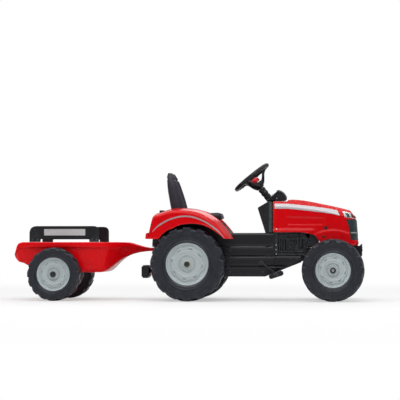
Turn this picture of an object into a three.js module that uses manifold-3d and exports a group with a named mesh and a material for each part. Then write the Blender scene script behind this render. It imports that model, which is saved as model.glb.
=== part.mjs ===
// Pedal tractor with a two-wheeled trailer, for a child of about three to seven years.
// Frame: millimetres, +X forwards, +Y to the rider's left, +Z up.
// Origin: on the floor, under the middle of the rear axle.
import * as THREE from 'three';
import { mergeVertices } from 'three/addons/utils/BufferGeometryUtils.js';
import Module from 'manifold-3d';

const { degToRad, radToDeg } = THREE.MathUtils;
const wasm = await Module();
wasm.setup();

// ---------------------------------------------------------------- driving dimensions
const GAP = 0.3;                     // air between pieces that touch
const FIT = 0.4;                     // bore radius over that of the part it fits
const PIN_FIT = 0.5;                 // the same, round pins and turning shafts
const SIDES = [['right', -1], ['left', 1]];

const TYRE_FACETS = 28;              // facets round a tyre, one of them flat on the floor
const FLAT = Math.cos(Math.PI / TYRE_FACETS);
// y is the distance from the middle plane to the wheel's centre; shaft is the axle's radius.
const REAR = { radius: 172, halfWidth: 48, y: 192, hubRadius: 100, shaft: 7, nutRadius: 13 };
const FRONT = { radius: 144, halfWidth: 42, y: 183, hubRadius: 81.5, shaft: 6, nutRadius: 11 };
const TRAIL = { radius: 124, halfWidth: 36, y: 189, hubRadius: 79, shaft: 6 };
const REAR_Z = REAR.radius * FLAT;
const FRONT_Z = FRONT.radius * FLAT;
const TRAIL_Z = TRAIL.radius * FLAT;
const WHEELBASE = 667;
const TRAILER_X = -625;
const HITCH_X = -170;                // trailer pin

// Crank angle at rest: the right arm points down and forwards.
const CRANK = { x: 335, z: 177, throw: 89, angle: -37.6, shaft: 6 };
const RIM = { x: 285, z: 580, rake: degToRad(39), radius: 91, tube: 11 };  // steering wheel
const SHAFT_LENGTH = 508.3;          // from the rim's centre to the lever at the shaft's foot
const SHAFT_RADIUS = 6;
const KINGPIN_Y = 118;
const KINGPIN_RADIUS = 5;
const HINGE = { x: 766, z: 264, lugRadius: 6.5, pinRadius: 3 };  // bonnet hinge

const SHELL_Y = 98;                  // half width of the moulded body
const BODY_BACK = -140;
const BODY_TOP = 350;
const DECK_Z = 210;                  // low front part of the body
const SPINE = { back: -120, front: 556, halfWidth: 15, bottom: 186, top: 206, wall: 2.5 };
const RAIL = { inner: 55, outer: 65, top: 372 };  // ribs that the seat slides on

// ---------------------------------------------------------------- solids
// Turns every triangle over.
function turnOver(indices) {
  for (let i = 0; i < indices.length; i += 3) {
    [indices[i + 1], indices[i + 2]] = [indices[i + 2], indices[i + 1]];
  }
}

function solidOf(geometry) {
  let bare = geometry.clone();
  for (const name of Object.keys(bare.attributes)) {
    if (name !== 'position') bare.deleteAttribute(name);
  }
  bare = mergeVertices(bare, 1e-4);
  const triVerts = new Uint32Array(bare.index.array);
  const vertProperties = new Float32Array(bare.attributes.position.array);
  const make = () => new wasm.Manifold(new wasm.Mesh({ numProp: 3, vertProperties, triVerts }));
  const solid = make();
  if (solid.volume() >= 0) return solid;
  turnOver(triVerts);
  return make();
}

function geometryOf(solid) {
  const { numProp, numVert, vertProperties, triVerts } = solid.getMesh();
  const points = new Float32Array(numVert * 3);
  for (let i = 0; i < numVert; i++) {
    points.set(vertProperties.subarray(i * numProp, i * numProp + 3), i * 3);
  }
  const geometry = new THREE.BufferGeometry();
  geometry.setAttribute('position', new THREE.BufferAttribute(points, 3));
  geometry.setIndex(new THREE.BufferAttribute(new Uint32Array(triVerts), 1));
  return geometry;
}

const combine = (method) => (...geometries) =>
  geometryOf(geometries.map(solidOf).reduce((total, next) => total[method](next)));
const join = combine('add');
const cut = combine('subtract');
const common = combine('intersect');

// Side-view outline [x, z], extruded across from y0 to y1.
function prism(outline, y0, y1) {
  const shape = new THREE.Shape(outline.map(([x, z]) => new THREE.Vector2(x, z)));
  const geometry = new THREE.ExtrudeGeometry(shape, { depth: y1 - y0, bevelEnabled: false });
  geometry.rotateX(Math.PI / 2);
  geometry.translate(0, y1, 0);
  return geometry;
}
const midPrism = (outline, halfWidth) => prism(outline, -halfWidth, halfWidth);

function box(x0, x1, y0, y1, z0, z1) {
  const geometry = new THREE.BoxGeometry(x1 - x0, y1 - y0, z1 - z0);
  geometry.translate((x0 + x1) / 2, (y0 + y1) / 2, (z0 + z1) / 2);
  return geometry;
}
const midBox = (x0, x1, halfWidth, z0, z1) => box(x0, x1, -halfWidth, halfWidth, z0, z1);

// The y range from inner to outer on one side, lower end first.
const span = (sign, inner, outer) => (sign < 0 ? [-outer, -inner] : [inner, outer]);

// Round bar between two points.
function rod(from, to, radius, facets = 12) {
  const start = new THREE.Vector3(...from);
  const end = new THREE.Vector3(...to);
  const along = end.clone().sub(start);
  const geometry = new THREE.CylinderGeometry(radius, radius, along.length(), facets);
  const up = new THREE.Vector3(0, 1, 0);
  geometry.applyQuaternion(new THREE.Quaternion().setFromUnitVectors(up, along.normalize()));
  const middle = start.add(end).multiplyScalar(0.5);
  geometry.translate(middle.x, middle.y, middle.z);
  return geometry;
}
const rodAcross = (x, z, y0, y1, radius, facets) => rod([x, y0, z], [x, y1, z], radius, facets);
const rodUp = (x, y, z0, z1, radius, facets) => rod([x, y, z0], [x, y, z1], radius, facets);

// Ring or disc turned about the Y axis from a closed profile of [radius, y], a facet downwards.
function turned(profile, facets) {
  const points = [...profile, profile[0]].map(([radius, y]) => new THREE.Vector2(radius, y));
  return new THREE.LatheGeometry(points, facets, Math.PI / facets);
}

// Skin through rings of equal point count, with flat ends.
function loft(rings) {
  const count = rings[0].length;
  const faces = [];
  for (let i = 0; i + 1 < rings.length; i++) {
    for (let j = 0; j < count; j++) {
      const here = i * count + j;
      const next = i * count + (j + 1) % count;
      faces.push(here, next, next + count, here, next + count, here + count);
    }
  }
  // triangulateShape keeps the outline's own direction, so the last end is turned over.
  for (const last of [false, true]) {
    const base = last ? (rings.length - 1) * count : 0;
    const flat = rings[last ? rings.length - 1 : 0].map(([, y, z]) => new THREE.Vector2(y, z));
    const triangles = THREE.ShapeUtils.triangulateShape(flat, []).flat();
    if (last) turnOver(triangles);
    faces.push(...triangles.map((index) => base + index));
  }
  const geometry = new THREE.BufferGeometry();
  geometry.setAttribute('position', new THREE.Float32BufferAttribute(rings.flat(2), 3));
  geometry.setIndex(faces);
  return geometry;
}

// Counter-clockwise outline, pushed in by distance (out if negative) along its edges' normals.
function inset(outline, distance) {
  const count = outline.length;
  const normal = ([x0, z0], [x1, z1]) => new THREE.Vector2(z0 - z1, x1 - x0).normalize();
  return outline.map((point, i) => {
    const before = normal(outline[(i + count - 1) % count], point);
    const after = normal(point, outline[(i + 1) % count]);
    const scale = distance / (1 + before.dot(after));
    return [point[0] + (before.x + after.x) * scale, point[1] + (before.y + after.y) * scale];
  });
}

function mirrorY(geometry) {
  const mirrored = geometry.clone();
  mirrored.scale(1, -1, 1);
  turnOver(mirrored.index.array);
  return mirrored;
}

// Points [x, z] on an arc; angles in degrees.
function arc(x, z, radius, from, to, steps) {
  return Array.from({ length: steps + 1 }, (_, i) => {
    const angle = degToRad(from + (to - from) * i / steps);
    return [x + radius * Math.cos(angle), z + radius * Math.sin(angle)];
  });
}

// ---------------------------------------------------------------- materials
const material = (settings) => new THREE.MeshStandardMaterial(settings);
const RED = material({ color: 0xd80a12, roughness: 0.3, metalness: 0 });
const BLACK = material({ color: 0x17191d, roughness: 0.5, metalness: 0 });
const TYRE = material({ color: 0x1b2026, roughness: 0.6, metalness: 0 });
const GREY = material({ color: 0x9aa3a8, roughness: 0.45, metalness: 0 });
const STEEL = material({ color: 0x8b8f94, roughness: 0.35, metalness: 1 });
const DARK_STEEL = material({ color: 0x1d1f22, roughness: 0.4, metalness: 0.7 });
const BUSHING = material({ color: 0xe6e3da, roughness: 0.5, metalness: 0 });
const LENS = material({ color: 0xdfe4e6, roughness: 0.1, metalness: 0 });

// ---------------------------------------------------------------- scene
const root = new THREE.Group();

function add(parent, name, geometry, surface) {
  const mesh = new THREE.Mesh(geometry, surface);
  mesh.name = name;
  parent.add(mesh);
  return mesh;
}

function group(parent, x = 0, y = 0, z = 0) {
  const child = new THREE.Group();
  child.position.set(x, y, z);
  parent.add(child);
  return child;
}

const chassis = group(root);

// Adds a right-hand piece and its mirror image.
function addPair(name, right, surface, parentOf = () => chassis) {
  add(parentOf(), name + '_right', right, surface);
  add(parentOf(), name + '_left', mirrorY(right), surface);
}

// ---------------------------------------------------------------- moulded body, two halves
// Bearings of the rear axle and the crank; y is the middle of each bush.
const BEARINGS = [
  { name: 'rear_axle_bush_', x: 0, z: REAR_Z, shaft: REAR.shaft,
    outer: 12, halfLength: 6, y: 82, hangerTop: 228 },
  { name: 'crank_bush_', x: CRANK.x, z: CRANK.z, shaft: CRANK.shaft,
    outer: 10, halfLength: 10.5, y: 88.5, hangerTop: 250 },
];

// The square tube along the middle, grown all round.
const spineBar = (x0, x1, grow) => midBox(x0, x1, SPINE.halfWidth + grow,
  SPINE.bottom - grow, SPINE.top + grow);

// Side view [x, z].
const BODY = [
  [BODY_BACK, 112], [352, 112], [518, 178], [518, DECK_Z], [394, DECK_Z], [394, 316],
  [192, 316], [158, BODY_TOP], [BODY_BACK, BODY_TOP],
];
const BODY_RIBS = [[158, 440], [208, 380], [250, 380]];  // height, front end

function bodyHalf() {
  const wall = 3;
  const skin = prism(BODY, -SHELL_Y, -GAP);
  const hollow = prism(inset(BODY, wall), -SHELL_Y + wall, 5);
  const ribs = BODY_RIBS.map(([z, front]) =>
    box(172, front, -SHELL_Y - 2, -SHELL_Y + 1, z - 1.5, z + 1.5));
  const holes = BEARINGS.map(({ x, z, outer }) =>
    rodAcross(x, z, -120, -60, outer + 2 * GAP, 20));
  return cut(join(cut(skin, hollow), ...ribs), ...holes, spineBar(500, 530, 2 * GAP));
}
addPair('chassis_shell', bodyHalf(), BLACK);

// ---------------------------------------------------------------- steel frame inside the body
// Crosspiece on a post, with a round-ended bearing plate at each side.
function hanger({ x, z, outer, hangerTop }) {
  const plateInner = 80;
  const plateOuter = 84;
  const plates = [-1, 1].map((sign) => cut(
    join(box(x - 18, x + 18, ...span(sign, plateInner, plateOuter), z, hangerTop),
      rodAcross(x, z, sign * plateInner, sign * plateOuter, 20, 20)),
    rodAcross(x, z, sign * 70, sign * 90, outer + FIT, 20)));
  return [
    midBox(x - 15, x + 15, plateOuter, hangerTop - 12, hangerTop),
    midBox(x - 12, x + 12, SPINE.halfWidth, 200, hangerTop - 6),
    ...plates,
  ];
}

function mainFrame() {
  const hollow = spineBar(SPINE.back - 10, SPINE.front + 10, -SPINE.wall);
  const spine = spineBar(SPINE.back, SPINE.front, 0);
  return cut(join(spine, ...BEARINGS.flatMap(hanger)), hollow);
}
add(chassis, 'main_frame', mainFrame(), DARK_STEEL);

function bush({ shaft, outer, halfLength }) {
  const inner = shaft + PIN_FIT;
  return turned([
    [inner, -halfLength], [outer, -halfLength], [outer, halfLength], [inner, halfLength],
  ], 16);
}
for (const [side, sign] of SIDES) {
  for (const bearing of BEARINGS) {
    const mesh = add(chassis, bearing.name + side, bush(bearing), BUSHING);
    mesh.position.set(bearing.x, sign * bearing.y, bearing.z);
  }
}

// ---------------------------------------------------------------- front end
const AXLE_HALF = 11;                // half thickness of the front axle beam
const BOLSTER_BACK = SPINE.front + GAP;
const SLOT_TOP = FRONT_Z + AXLE_HALF + GAP;
// Side view [x, z], with a slot over the axle beam.
const BOLSTER = [
  [BOLSTER_BACK, 186], [566, 186], [566, 214],
  [WHEELBASE - 22, 214], [WHEELBASE - 22, SLOT_TOP],
  [WHEELBASE + 22, SLOT_TOP], [WHEELBASE + 22, 214],
  [786, 214], [786, 244], [BOLSTER_BACK, 244],
];

// Point on the steering shaft's axis, measured down from the rim's centre.
const onShaft = (distance) => [
  RIM.x + Math.sin(RIM.rake) * distance, 0, RIM.z - Math.cos(RIM.rake) * distance,
];
const shaftHole = (radius) => rod(onShaft(60), onShaft(SHAFT_LENGTH + 10), radius, 16);
const hingeHole = () => rodAcross(HINGE.x, HINGE.z, -90, 90, HINGE.pinRadius + PIN_FIT, 14);
const hingeArc = (from, to) => arc(HINGE.x, HINGE.z, HINGE.lugRadius, from, to, 8);

// The lugs lean forwards, so that the bonnet's lip can swing down in front of them.
const bolsterLug = (sign) =>
  prism([[730, 240], [748, 240], ...hingeArc(-60, 150)], ...span(sign, 32, 44));

function frontBolster() {
  const tongue = midBox(527, 566, 74, 184, 209.8);
  return cut(join(midPrism(BOLSTER, 45), bolsterLug(-1), bolsterLug(1), tongue),
    spineBar(520, BOLSTER_BACK, GAP), shaftHole(9), midBox(540, 600, 9, 180, 250),
    midBox(700, 781, 41, 200, 240), hingeHole());
}
add(chassis, 'front_bolster', frontBolster(), BLACK);
add(chassis, 'bonnet_hinge_pin', rodAcross(HINGE.x, HINGE.z, -58, 58, HINGE.pinRadius), STEEL);

// Side view [x, z].
const FRONT_WEIGHT = [
  [788, 212], [793, 204], [800, 204], [805, 211],
  [805, 261], [801, 266], [796.5, 262.5], [788, 253],
];
add(chassis, 'front_weight', midPrism(FRONT_WEIGHT, 68), BLACK);

// Front axle beam with a fork at each end that holds the knuckle.
function frontAxleBeam() {
  const [back, front] = [WHEELBASE - AXLE_HALF, WHEELBASE + AXLE_HALF];
  const forkHalf = 28;
  const forkInner = 20.5;
  const fork = (sign) => {
    const prong = span(sign, 95, 129);
    return cut(join(
      box(back, front, ...span(sign, 92, 102), FRONT_Z - forkHalf, FRONT_Z + forkHalf),
      box(back, front, ...prong, FRONT_Z + forkInner, FRONT_Z + forkHalf),
      box(back, front, ...prong, FRONT_Z - forkHalf, FRONT_Z - forkInner)),
    rodUp(WHEELBASE, sign * KINGPIN_Y, 100, 190, KINGPIN_RADIUS + PIN_FIT, 14));
  };
  const beam = midBox(back, front, 100, FRONT_Z - AXLE_HALF, FRONT_Z + AXLE_HALF);
  return join(beam, fork(-1), fork(1));
}
add(chassis, 'front_axle_beam', frontAxleBeam(), DARK_STEEL);

// Engine moulding under the bonnet. Columns: x0, x1, half width, z0, z1.
const ENGINE_BOTTOM = DECK_Z + GAP;
const ENGINE_BLOCKS = [
  [396, 545, 80, ENGINE_BOTTOM, 296], [404, 482, 44, 290, 318],
  [396, 545, 90, ENGINE_BOTTOM, 224], [396, 545, 90, 284, 296],
  [396, 500, 84, 290, 316], [540, 602, 84, 247, 300],
];
const ENGINE_HOLLOWS = [
  [400, 541, 76, 200, 292], [400, 496, 80, 292, 312], [530, 598, 80, 240, 294],
];
const ENGINE_COLUMNS = [[414, 9], [508, 11], [530, 8]];  // x, radius

function engineBlock() {
  const parts = ENGINE_BLOCKS.map((row) => midBox(...row));
  for (const sign of [-1, 1]) {
    for (const [x, radius] of ENGINE_COLUMNS) parts.push(rodUp(x, sign * 82, 222, 288, radius));
    parts.push(rodAcross(460, 252, sign * 70, sign * 93, 19, 16));
    parts.push(rodAcross(434, 268, sign * 70, sign * 90, 9));
  }
  return cut(join(...parts), ...ENGINE_HOLLOWS.map((row) => midBox(...row)), shaftHole(9.5));
}
add(chassis, 'engine_block', engineBlock(), BLACK);

// ---------------------------------------------------------------- dashboard and steering column
const COLUMN_HOLE = 16.4;
// Side views [x, z].
const DASH = [[352, 316.4], [387, 316.4], [387, 461], [368, 465], [316, 433]];
const DASH_HOLLOW = [[356, 319.4], [395, 319.4], [395, 457], [369, 461], [321, 431]];
const BINNACLE = [
  [357, 467], [446, 467], [450, 480], [446, 494], [434, 506], [419, 513], [412, 512],
];
add(chassis, 'dash_panel',
  cut(midPrism(DASH, 95), midPrism(DASH_HOLLOW, 92), shaftHole(COLUMN_HOLE)), BLACK);
add(chassis, 'dash_binnacle', cut(midPrism(BINNACLE, 48), shaftHole(COLUMN_HOLE)), BLACK);

function steeringColumn() {
  const tube = cut(
    join(rodUp(0, 0, -70, -104, 17, 20), rodUp(0, 0, -103, -168, 14, 20)),
    rodUp(0, 0, -60, -180, 8, 16));
  tube.rotateY(-RIM.rake);
  tube.translate(RIM.x, 0, RIM.z);
  return tube;
}
add(chassis, 'steering_column', steeringColumn(), BLACK);

// ---------------------------------------------------------------- seat support, mudguards
function seatBase() {
  const rails = [-1, 1].map((sign) =>
    box(-140, 140, ...span(sign, RAIL.inner, RAIL.outer), 360, RAIL.top));
  const tray = cut(midBox(-156, 150, 124, BODY_TOP + GAP, 364), midBox(-152, 146, 120, 340, 360));
  return join(tray, midBox(-156, -146, 124, 360, 404), midBox(-148, -130, 60, 398, 423),
    midBox(-148, -142, 60, 360, 400), ...rails);
}
add(chassis, 'seat_base', seatBase(), BLACK);

// Mudguard's outer edge and wheel arch, from back to front [x, z].
const CREST = [
  [-191, 291], [-190, 311], [-181, 318], [-171, 365], [-163, 392], [-156, 403],
  [-127, 413], [-94, 424], [-60, 431], [-24, 432], [23, 428], [58, 421],
  [93, 407], [117, 393], [140, 376], [163, 351], [187, 321], [209, 288],
];
const ARCH = [
  [-127, 280], [-127, 291], [-113, 310], [-90, 326], [-60, 340], [-16, 354], [20, 357],
  [57, 354.5], [88, 344.5], [120, 328], [148, 308], [170, 288], [170, 280],
];
function mudguard() {
  // The hollow's lowest points are carried down to open it below.
  const hollow = inset([...CREST].reverse(), 4).map(([x, z]) => [x, z < 300 ? 280 : z]);
  return cut(prism(CREST, -240, -125), prism(hollow, -236, -129), prism(ARCH, -250, -120));
}
addPair('mudguard', mudguard(), RED);

// ---------------------------------------------------------------- tow hitch and rear weight
const MOUNT_X = BODY_BACK - GAP;     // front face of what hangs on the body's back

const towHitch = () => cut(
  join(midBox(-152, MOUNT_X, 30, 196, 336), midBox(-188, -150, 18, 221.5, 228.5),
    midBox(-188, -150, 18, 250.5, 257)),
  rodUp(HITCH_X, 0, 200, 300, 5.6, 16));
add(chassis, 'tow_hitch', towHitch(), BLACK);

// Side view [x, z].
const REAR_WEIGHT = [
  [-236, 112], [-228, 103], [-207, 103], [-199, 112],
  [-199, 155], [-208, 164], [-227, 164], [-236, 155],
];
add(chassis, 'rear_weight',
  join(midPrism(REAR_WEIGHT, 44), midBox(-200, MOUNT_X, 14, 126, 146)), BLACK);

// ---------------------------------------------------------------- seat
// Side view [x, z].
const SEAT = [
  [-86, 378], [138, 378], [150, 388], [150, 402], [138, 404], [60, 398], [-2, 398],
  [-13, 411], [-20, 437], [-31, 480], [-50, 532], [-66, 574], [-77, 592], [-90, 603],
  [-104, 602], [-112, 591], [-110, 541], [-105, 494], [-94, 430],
];
function seatShell() {
  // Grooved blocks that ride on the rails.
  const guides = [-1, 1].map((sign) => cut(
    box(-80, 130, ...span(sign, 48, 72), 365, 380),
    box(-90, 140, ...span(sign, RAIL.inner - 1, RAIL.outer + 1), 360, RAIL.top + 2 * GAP)));
  const shell = cut(midPrism(SEAT, 110), midPrism(inset(SEAT, 4), 106),
    midBox(-60, 120, 40, 370, 386));
  return join(shell, ...guides);
}
add(group(root), 'seat_shell', seatShell(), BLACK);

// ---------------------------------------------------------------- steering, built along the shaft
const steering = group(root, RIM.x, 0, RIM.z);
steering.rotation.y = -RIM.rake;

function steeringWheel() {
  const spokes = [0, 120, 240].flatMap((degrees) => {
    const angle = degToRad(degrees);
    const at = (radius, z) => [radius * Math.cos(angle), radius * Math.sin(angle), z];
    return [rod(at(86, 0), at(56, -11), 7, 8), rod(at(57, -10), at(17, -52), 7, 6)];
  });
  const rim = new THREE.TorusGeometry(RIM.radius, RIM.tube, 8, 24);
  return cut(join(rim, ...spokes, rodUp(0, 0, -38, -68, 23, 16)),
    rodUp(0, 0, -30, -50, 7), rodUp(0, 0, -54, -75, SHAFT_RADIUS + PIN_FIT));
}
add(steering, 'steering_wheel', steeringWheel(), BLACK);

const hornButton = () => join(rodUp(0, 0, -34, -16, 22, 18), rodUp(0, 0, -17, -12, 17, 18),
  rodUp(0, 0, -46, -30, 6));
add(group(steering), 'horn_button', hornButton(), RED);

// Shaft with a lever at its foot, which carries a vertical pin.
function steeringShaft() {
  const leverEnd = new THREE.Vector3(-32, 0, -SHAFT_LENGTH);
  const down = new THREE.Vector3(-Math.sin(RIM.rake), 0, -Math.cos(RIM.rake));
  const onPin = (distance) => leverEnd.clone().addScaledVector(down, distance).toArray();
  return join(rodUp(0, 0, -54.5, -SHAFT_LENGTH - 4, SHAFT_RADIUS, 14),
    rod([0, 0, -SHAFT_LENGTH], leverEnd.toArray(), 5, 10), rod(onPin(-6), onPin(15), 4));
}
add(steering, 'steering_shaft', steeringShaft(), STEEL);

// ---------------------------------------------------------------- steering knuckles and tie rod
const TIE_X = WHEELBASE - 46;        // ends of the steering arms
const TIE_Z = 166;
const TIE_PIN_RADIUS = 4;

function knuckle() {
  const [x, y, z] = [WHEELBASE, -KINGPIN_Y, FRONT_Z];
  return cut(join(
    rodUp(x, y, z - 20, z + 20, 10, 16), rodUp(x, y, z - 33, z + 33, KINGPIN_RADIUS, 14),
    rodAcross(x, z, y, y - 108, FRONT.shaft, 14), rodAcross(x, z, y, y - 18, 9, 14),
    box(TIE_X, x, y - 6, y + 6, z + 3, z + 11), rodUp(TIE_X, y, z + 3, z + 11, 9, 14)),
  rodUp(TIE_X, y, z - 10, z + 20, TIE_PIN_RADIUS + PIN_FIT));
}
addPair('steering_knuckle', knuckle(), STEEL, () => group(root));

// Bar with an upright pin at each end and a slotted tongue behind its middle.
function tieRod() {
  const pins = [-KINGPIN_Y, KINGPIN_Y].map((y) =>
    rodUp(TIE_X, y, TIE_Z + 4, FRONT_Z - 2, TIE_PIN_RADIUS));
  return cut(join(rodAcross(TIE_X, TIE_Z, -KINGPIN_Y, KINGPIN_Y, 5, 10),
    midBox(565, TIE_X, 16, TIE_Z - 4, TIE_Z + 1), ...pins),
  midBox(570, 592, 9, TIE_Z - 10, TIE_Z + 10));
}
add(group(root), 'tie_rod', tieRod(), STEEL);

// ---------------------------------------------------------------- wheels
// Each wheel is built about its own centre with its outer face towards -Y.
const faceOf = (wheel) => wheel.halfWidth * 0.84;   // centre to hub face
const nutSeatOf = (wheel) => faceOf(wheel) + 2.4;   // centre to the nut

// Hollow moulding, closed by the hub.
function tyre(wheel) {
  const { radius, halfWidth, hubRadius } = wheel;
  const side = radius - hubRadius;
  const face = faceOf(wheel);
  const half = [
    [hubRadius, face - 8], [hubRadius, face], [hubRadius + side * 0.24, halfWidth],
    [radius - side * 0.22, halfWidth], [radius, halfWidth * 0.72],
  ];
  const inner = halfWidth * 0.66;
  return turned([
    ...half.map(([distance, y]) => [distance, -y]), ...half.reverse(),
    [radius - 9, inner], [radius - 9, -inner],
  ], TYRE_FACETS);
}

function hub(wheel) {
  const bore = wheel.shaft + FIT;
  const outer = wheel.hubRadius * FLAT - GAP;
  const face = -faceOf(wheel);
  const back = wheel.halfWidth * 0.8;
  const bossBack = wheel.halfWidth * 0.9;
  return turned([
    [bore, face - 2], [20, face - 2], [24, face + 6], [outer - 12, face + 6],
    [outer - 7, face], [outer, face], [outer, back], [outer - 6, back],
    [outer - 6, face + 14], [18, face + 14], [18, bossBack], [bore, bossBack],
  ], 24);
}

function nut({ nutRadius, shaft }) {
  const bore = shaft + FIT;
  const length = 5;
  return turned([
    [bore, 0], [nutRadius, 0], [nutRadius, length * 0.7], [nutRadius * 0.8, length],
    [bore, length],
  ], 12);
}

function addWheels(prefix, wheel, x, z) {
  for (const [side, sign] of SIDES) {
    const centre = group(root, x, sign * wheel.y, z);
    if (sign > 0) centre.rotation.z = Math.PI;
    add(centre, `${prefix}_tyre_${side}`, tyre(wheel), TYRE);
    add(centre, `${prefix}_hub_${side}`, hub(wheel), GREY);
    if (wheel.nutRadius) {
      const cap = add(centre, `${prefix}_axle_nut_${side}`, nut(wheel), STEEL);
      cap.position.y = -nutSeatOf(wheel);
      cap.rotation.z = Math.PI;
    }
  }
}
addWheels('rear', REAR, 0, REAR_Z);
addWheels('front', FRONT, WHEELBASE, FRONT_Z);
addWheels('trailer', TRAIL, TRAILER_X, TRAIL_Z);
add(group(root), 'rear_axle', rodAcross(0, REAR_Z, -238, 238, REAR.shaft, 16), STEEL);

// ---------------------------------------------------------------- chain drive
const CHAIN_Y = 64;
const CRANK_TEETH = 22;
const REAR_TEETH = 14;
const PITCH = 12.7;
const pitchRadius = (teeth) => PITCH / 2 / Math.sin(Math.PI / teeth);

function sprocket(teeth, shaft) {
  const root = pitchRadius(teeth) - 3.4;
  const tip = pitchRadius(teeth) + 2.6;
  // One tooth: share of a pitch round, radius.
  const tooth = [[-0.2, root], [0.2, root], [0.42, tip], [0.58, tip]];
  const outline = [];
  for (let i = 0; i < teeth; i++) {
    for (const [share, radius] of tooth) {
      const angle = (i + share) * 2 * Math.PI / teeth;
      outline.push([radius * Math.cos(angle), radius * Math.sin(angle)]);
    }
  }
  return cut(midPrism(outline, 1.6), rodAcross(0, 0, -5, 5, shaft + FIT, 16));
}
add(group(root, 0, CHAIN_Y, REAR_Z), 'rear_sprocket', sprocket(REAR_TEETH, REAR.shaft), STEEL);
add(group(root, CRANK.x, CHAIN_Y, CRANK.z), 'crank_sprocket',
  sprocket(CRANK_TEETH, CRANK.shaft), STEEL);

// Closed band round both sprockets, at a distance outside their pitch circles.
function chainLoop(outside) {
  const large = pitchRadius(CRANK_TEETH) + outside;
  const small = pitchRadius(REAR_TEETH) + outside;
  const rise = CRANK.z - REAR_Z;
  const tilt = radToDeg(Math.atan2(rise, CRANK.x));
  const lean = radToDeg(Math.asin((large - small) / Math.hypot(CRANK.x, rise)));
  return [
    ...arc(CRANK.x, CRANK.z, large, tilt - 90 - lean, tilt + 90 + lean, 14),
    ...arc(0, REAR_Z, small, tilt + 90 + lean, tilt + 270 - lean, 12),
  ];
}
add(chassis, 'drive_chain', cut(prism(chainLoop(8.2), CHAIN_Y - 4, CHAIN_Y + 4),
  prism(chainLoop(3.2), CHAIN_Y - 9, CHAIN_Y + 9)), DARK_STEEL);

// ---------------------------------------------------------------- crank and pedals
const ARM_Y = 106;
const SPINDLE_RADIUS = 5;
const PEDAL_TILT = degToRad(18);     // toe up at rest
// Side view about the spindle [x, z].
const PEDAL = [
  [-30, -9], [-26, -13], [26, -13], [30, -9], [30, 9], [26, 13], [-26, 13], [-30, 9],
];

function pedalSpot(sign) {
  const angle = degToRad(CRANK.angle);
  const reach = sign * CRANK.throw;
  return [CRANK.x - reach * Math.cos(angle), CRANK.z - reach * Math.sin(angle)];
}

function crankArm(sign) {
  const [x, z] = pedalSpot(sign);
  const y = sign * ARM_Y;
  return [
    rod([CRANK.x, y, CRANK.z], [x, y, z], 6, 10),
    rodAcross(CRANK.x, CRANK.z, sign * 100.5, sign * 112, 10, 14),
    rodAcross(x, z, sign * 101, sign * 112, 9, 14),
    rodAcross(x, z, sign * 104, sign * 193, SPINDLE_RADIUS),
  ];
}
add(group(root), 'pedal_crank', join(
  rodAcross(CRANK.x, CRANK.z, -ARM_Y, ARM_Y, CRANK.shaft, 14),
  ...crankArm(-1), ...crankArm(1)), STEEL);

const pedal = () => cut(midPrism(PEDAL, 37), rodAcross(0, 0, -50, 50, SPINDLE_RADIUS + FIT, 14));
for (const [side, sign] of SIDES) {
  const [x, z] = pedalSpot(sign);
  const pivot = group(root, x, sign * 153, z);
  pivot.rotation.y = -PEDAL_TILT;
  add(pivot, 'pedal_' + side, pedal(), BLACK);
}

// ---------------------------------------------------------------- bonnet, grille and lamps
// Stations along the bonnet: x, half width, shoulder height, crown height.
const HOOD_BACK = 390;
const HOOD = [
  [HOOD_BACK, 105, 463, 468], [456, 105, 460.5, 466], [458, 105, 460.5, 472],
  [512, 104, 455, 472], [607, 101, 442.5, 455.5], [702, 96, 421.5, 435],
  [745, 91, 411, 421], [768, 84, 403, 409.5], [779, 74, 397, 401], [784, 62, 390, 394],
];

// Side views [x, z].
const HOOD_OUTLINE = [
  [HOOD_BACK, 319], [510, 319], [537, 316], [561, 311], [575, 307], [585, 301], [594, 292],
  [601, 283], ...arc(WHEELBASE, FRONT_Z, 147, 114.5, 50.2, 10),
  [795, 256], [795, 520], [HOOD_BACK, 520],
];
const LAMP = [[724, 388], [795, 379.5], [795, 397], [768, 403.5], [745, 409], [711, 417]];
const GRILLE = [[749, 283], [795, 283], [795, 377.5], [728, 377.5], [740, 349]];

// Solid bonnet, its surface lowered by offset and its stations moved by moveX.
function hoodSkin(offset, bottom, moveX = (x) => x) {
  const mirrored = (half) => half.map(([x, y, z]) => [x, -y, z]);
  return loft(HOOD.map(([x, fullWidth, fullShoulder, fullCrown]) => {
    const width = fullWidth - offset;
    const shoulder = fullShoulder - offset;
    const crown = fullCrown - offset;
    const [stepOuter, stepInner] = x < 457 ? [60, 58] : [58, 50];
    const half = [
      [width, bottom], [width, shoulder - 12], [width - 9, shoulder],
      [stepOuter, shoulder + Math.min(3, (crown - shoulder) * 0.5)], [stepInner, crown - 2],
    ].map(([y, z]) => [moveX(x), y, z]);
    return [...mirrored(half), [moveX(x), 0, crown], ...half.reverse()];
  }));
}
// Moves the nose back, by depth at x = 781 and by nothing at x = 740.
const noseBack = (depth) => (x) => (x > 740 ? x - depth * (x - 740) / 41 : x);
const openBack = (x) => (x === HOOD_BACK ? 380 : noseBack(3)(x));

const hoodOuter = common(hoodSkin(0, 230), midPrism(HOOD_OUTLINE, 140));
const lampZone = (sign, grow) =>
  prism(inset(LAMP, -grow), ...span(sign, 46 - grow, 140));
const grilleZone = (grow) => midPrism(inset(GRILLE, -grow), 140);
// An inlay is 3 mm thick, in a pocket with air behind it.
const inlay = (zone) => cut(common(hoodOuter, zone), hoodSkin(3, 200, noseBack(3)));
const pocket = (zone) => cut(zone, hoodSkin(4, 200, noseBack(5.2)));

const hingeLug = (sign) => cut(
  prism([...hingeArc(120, 300), [778.5, 257], [778.5, 296], [772, 290]], ...span(sign, 46, 56)),
  hingeHole());

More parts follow.
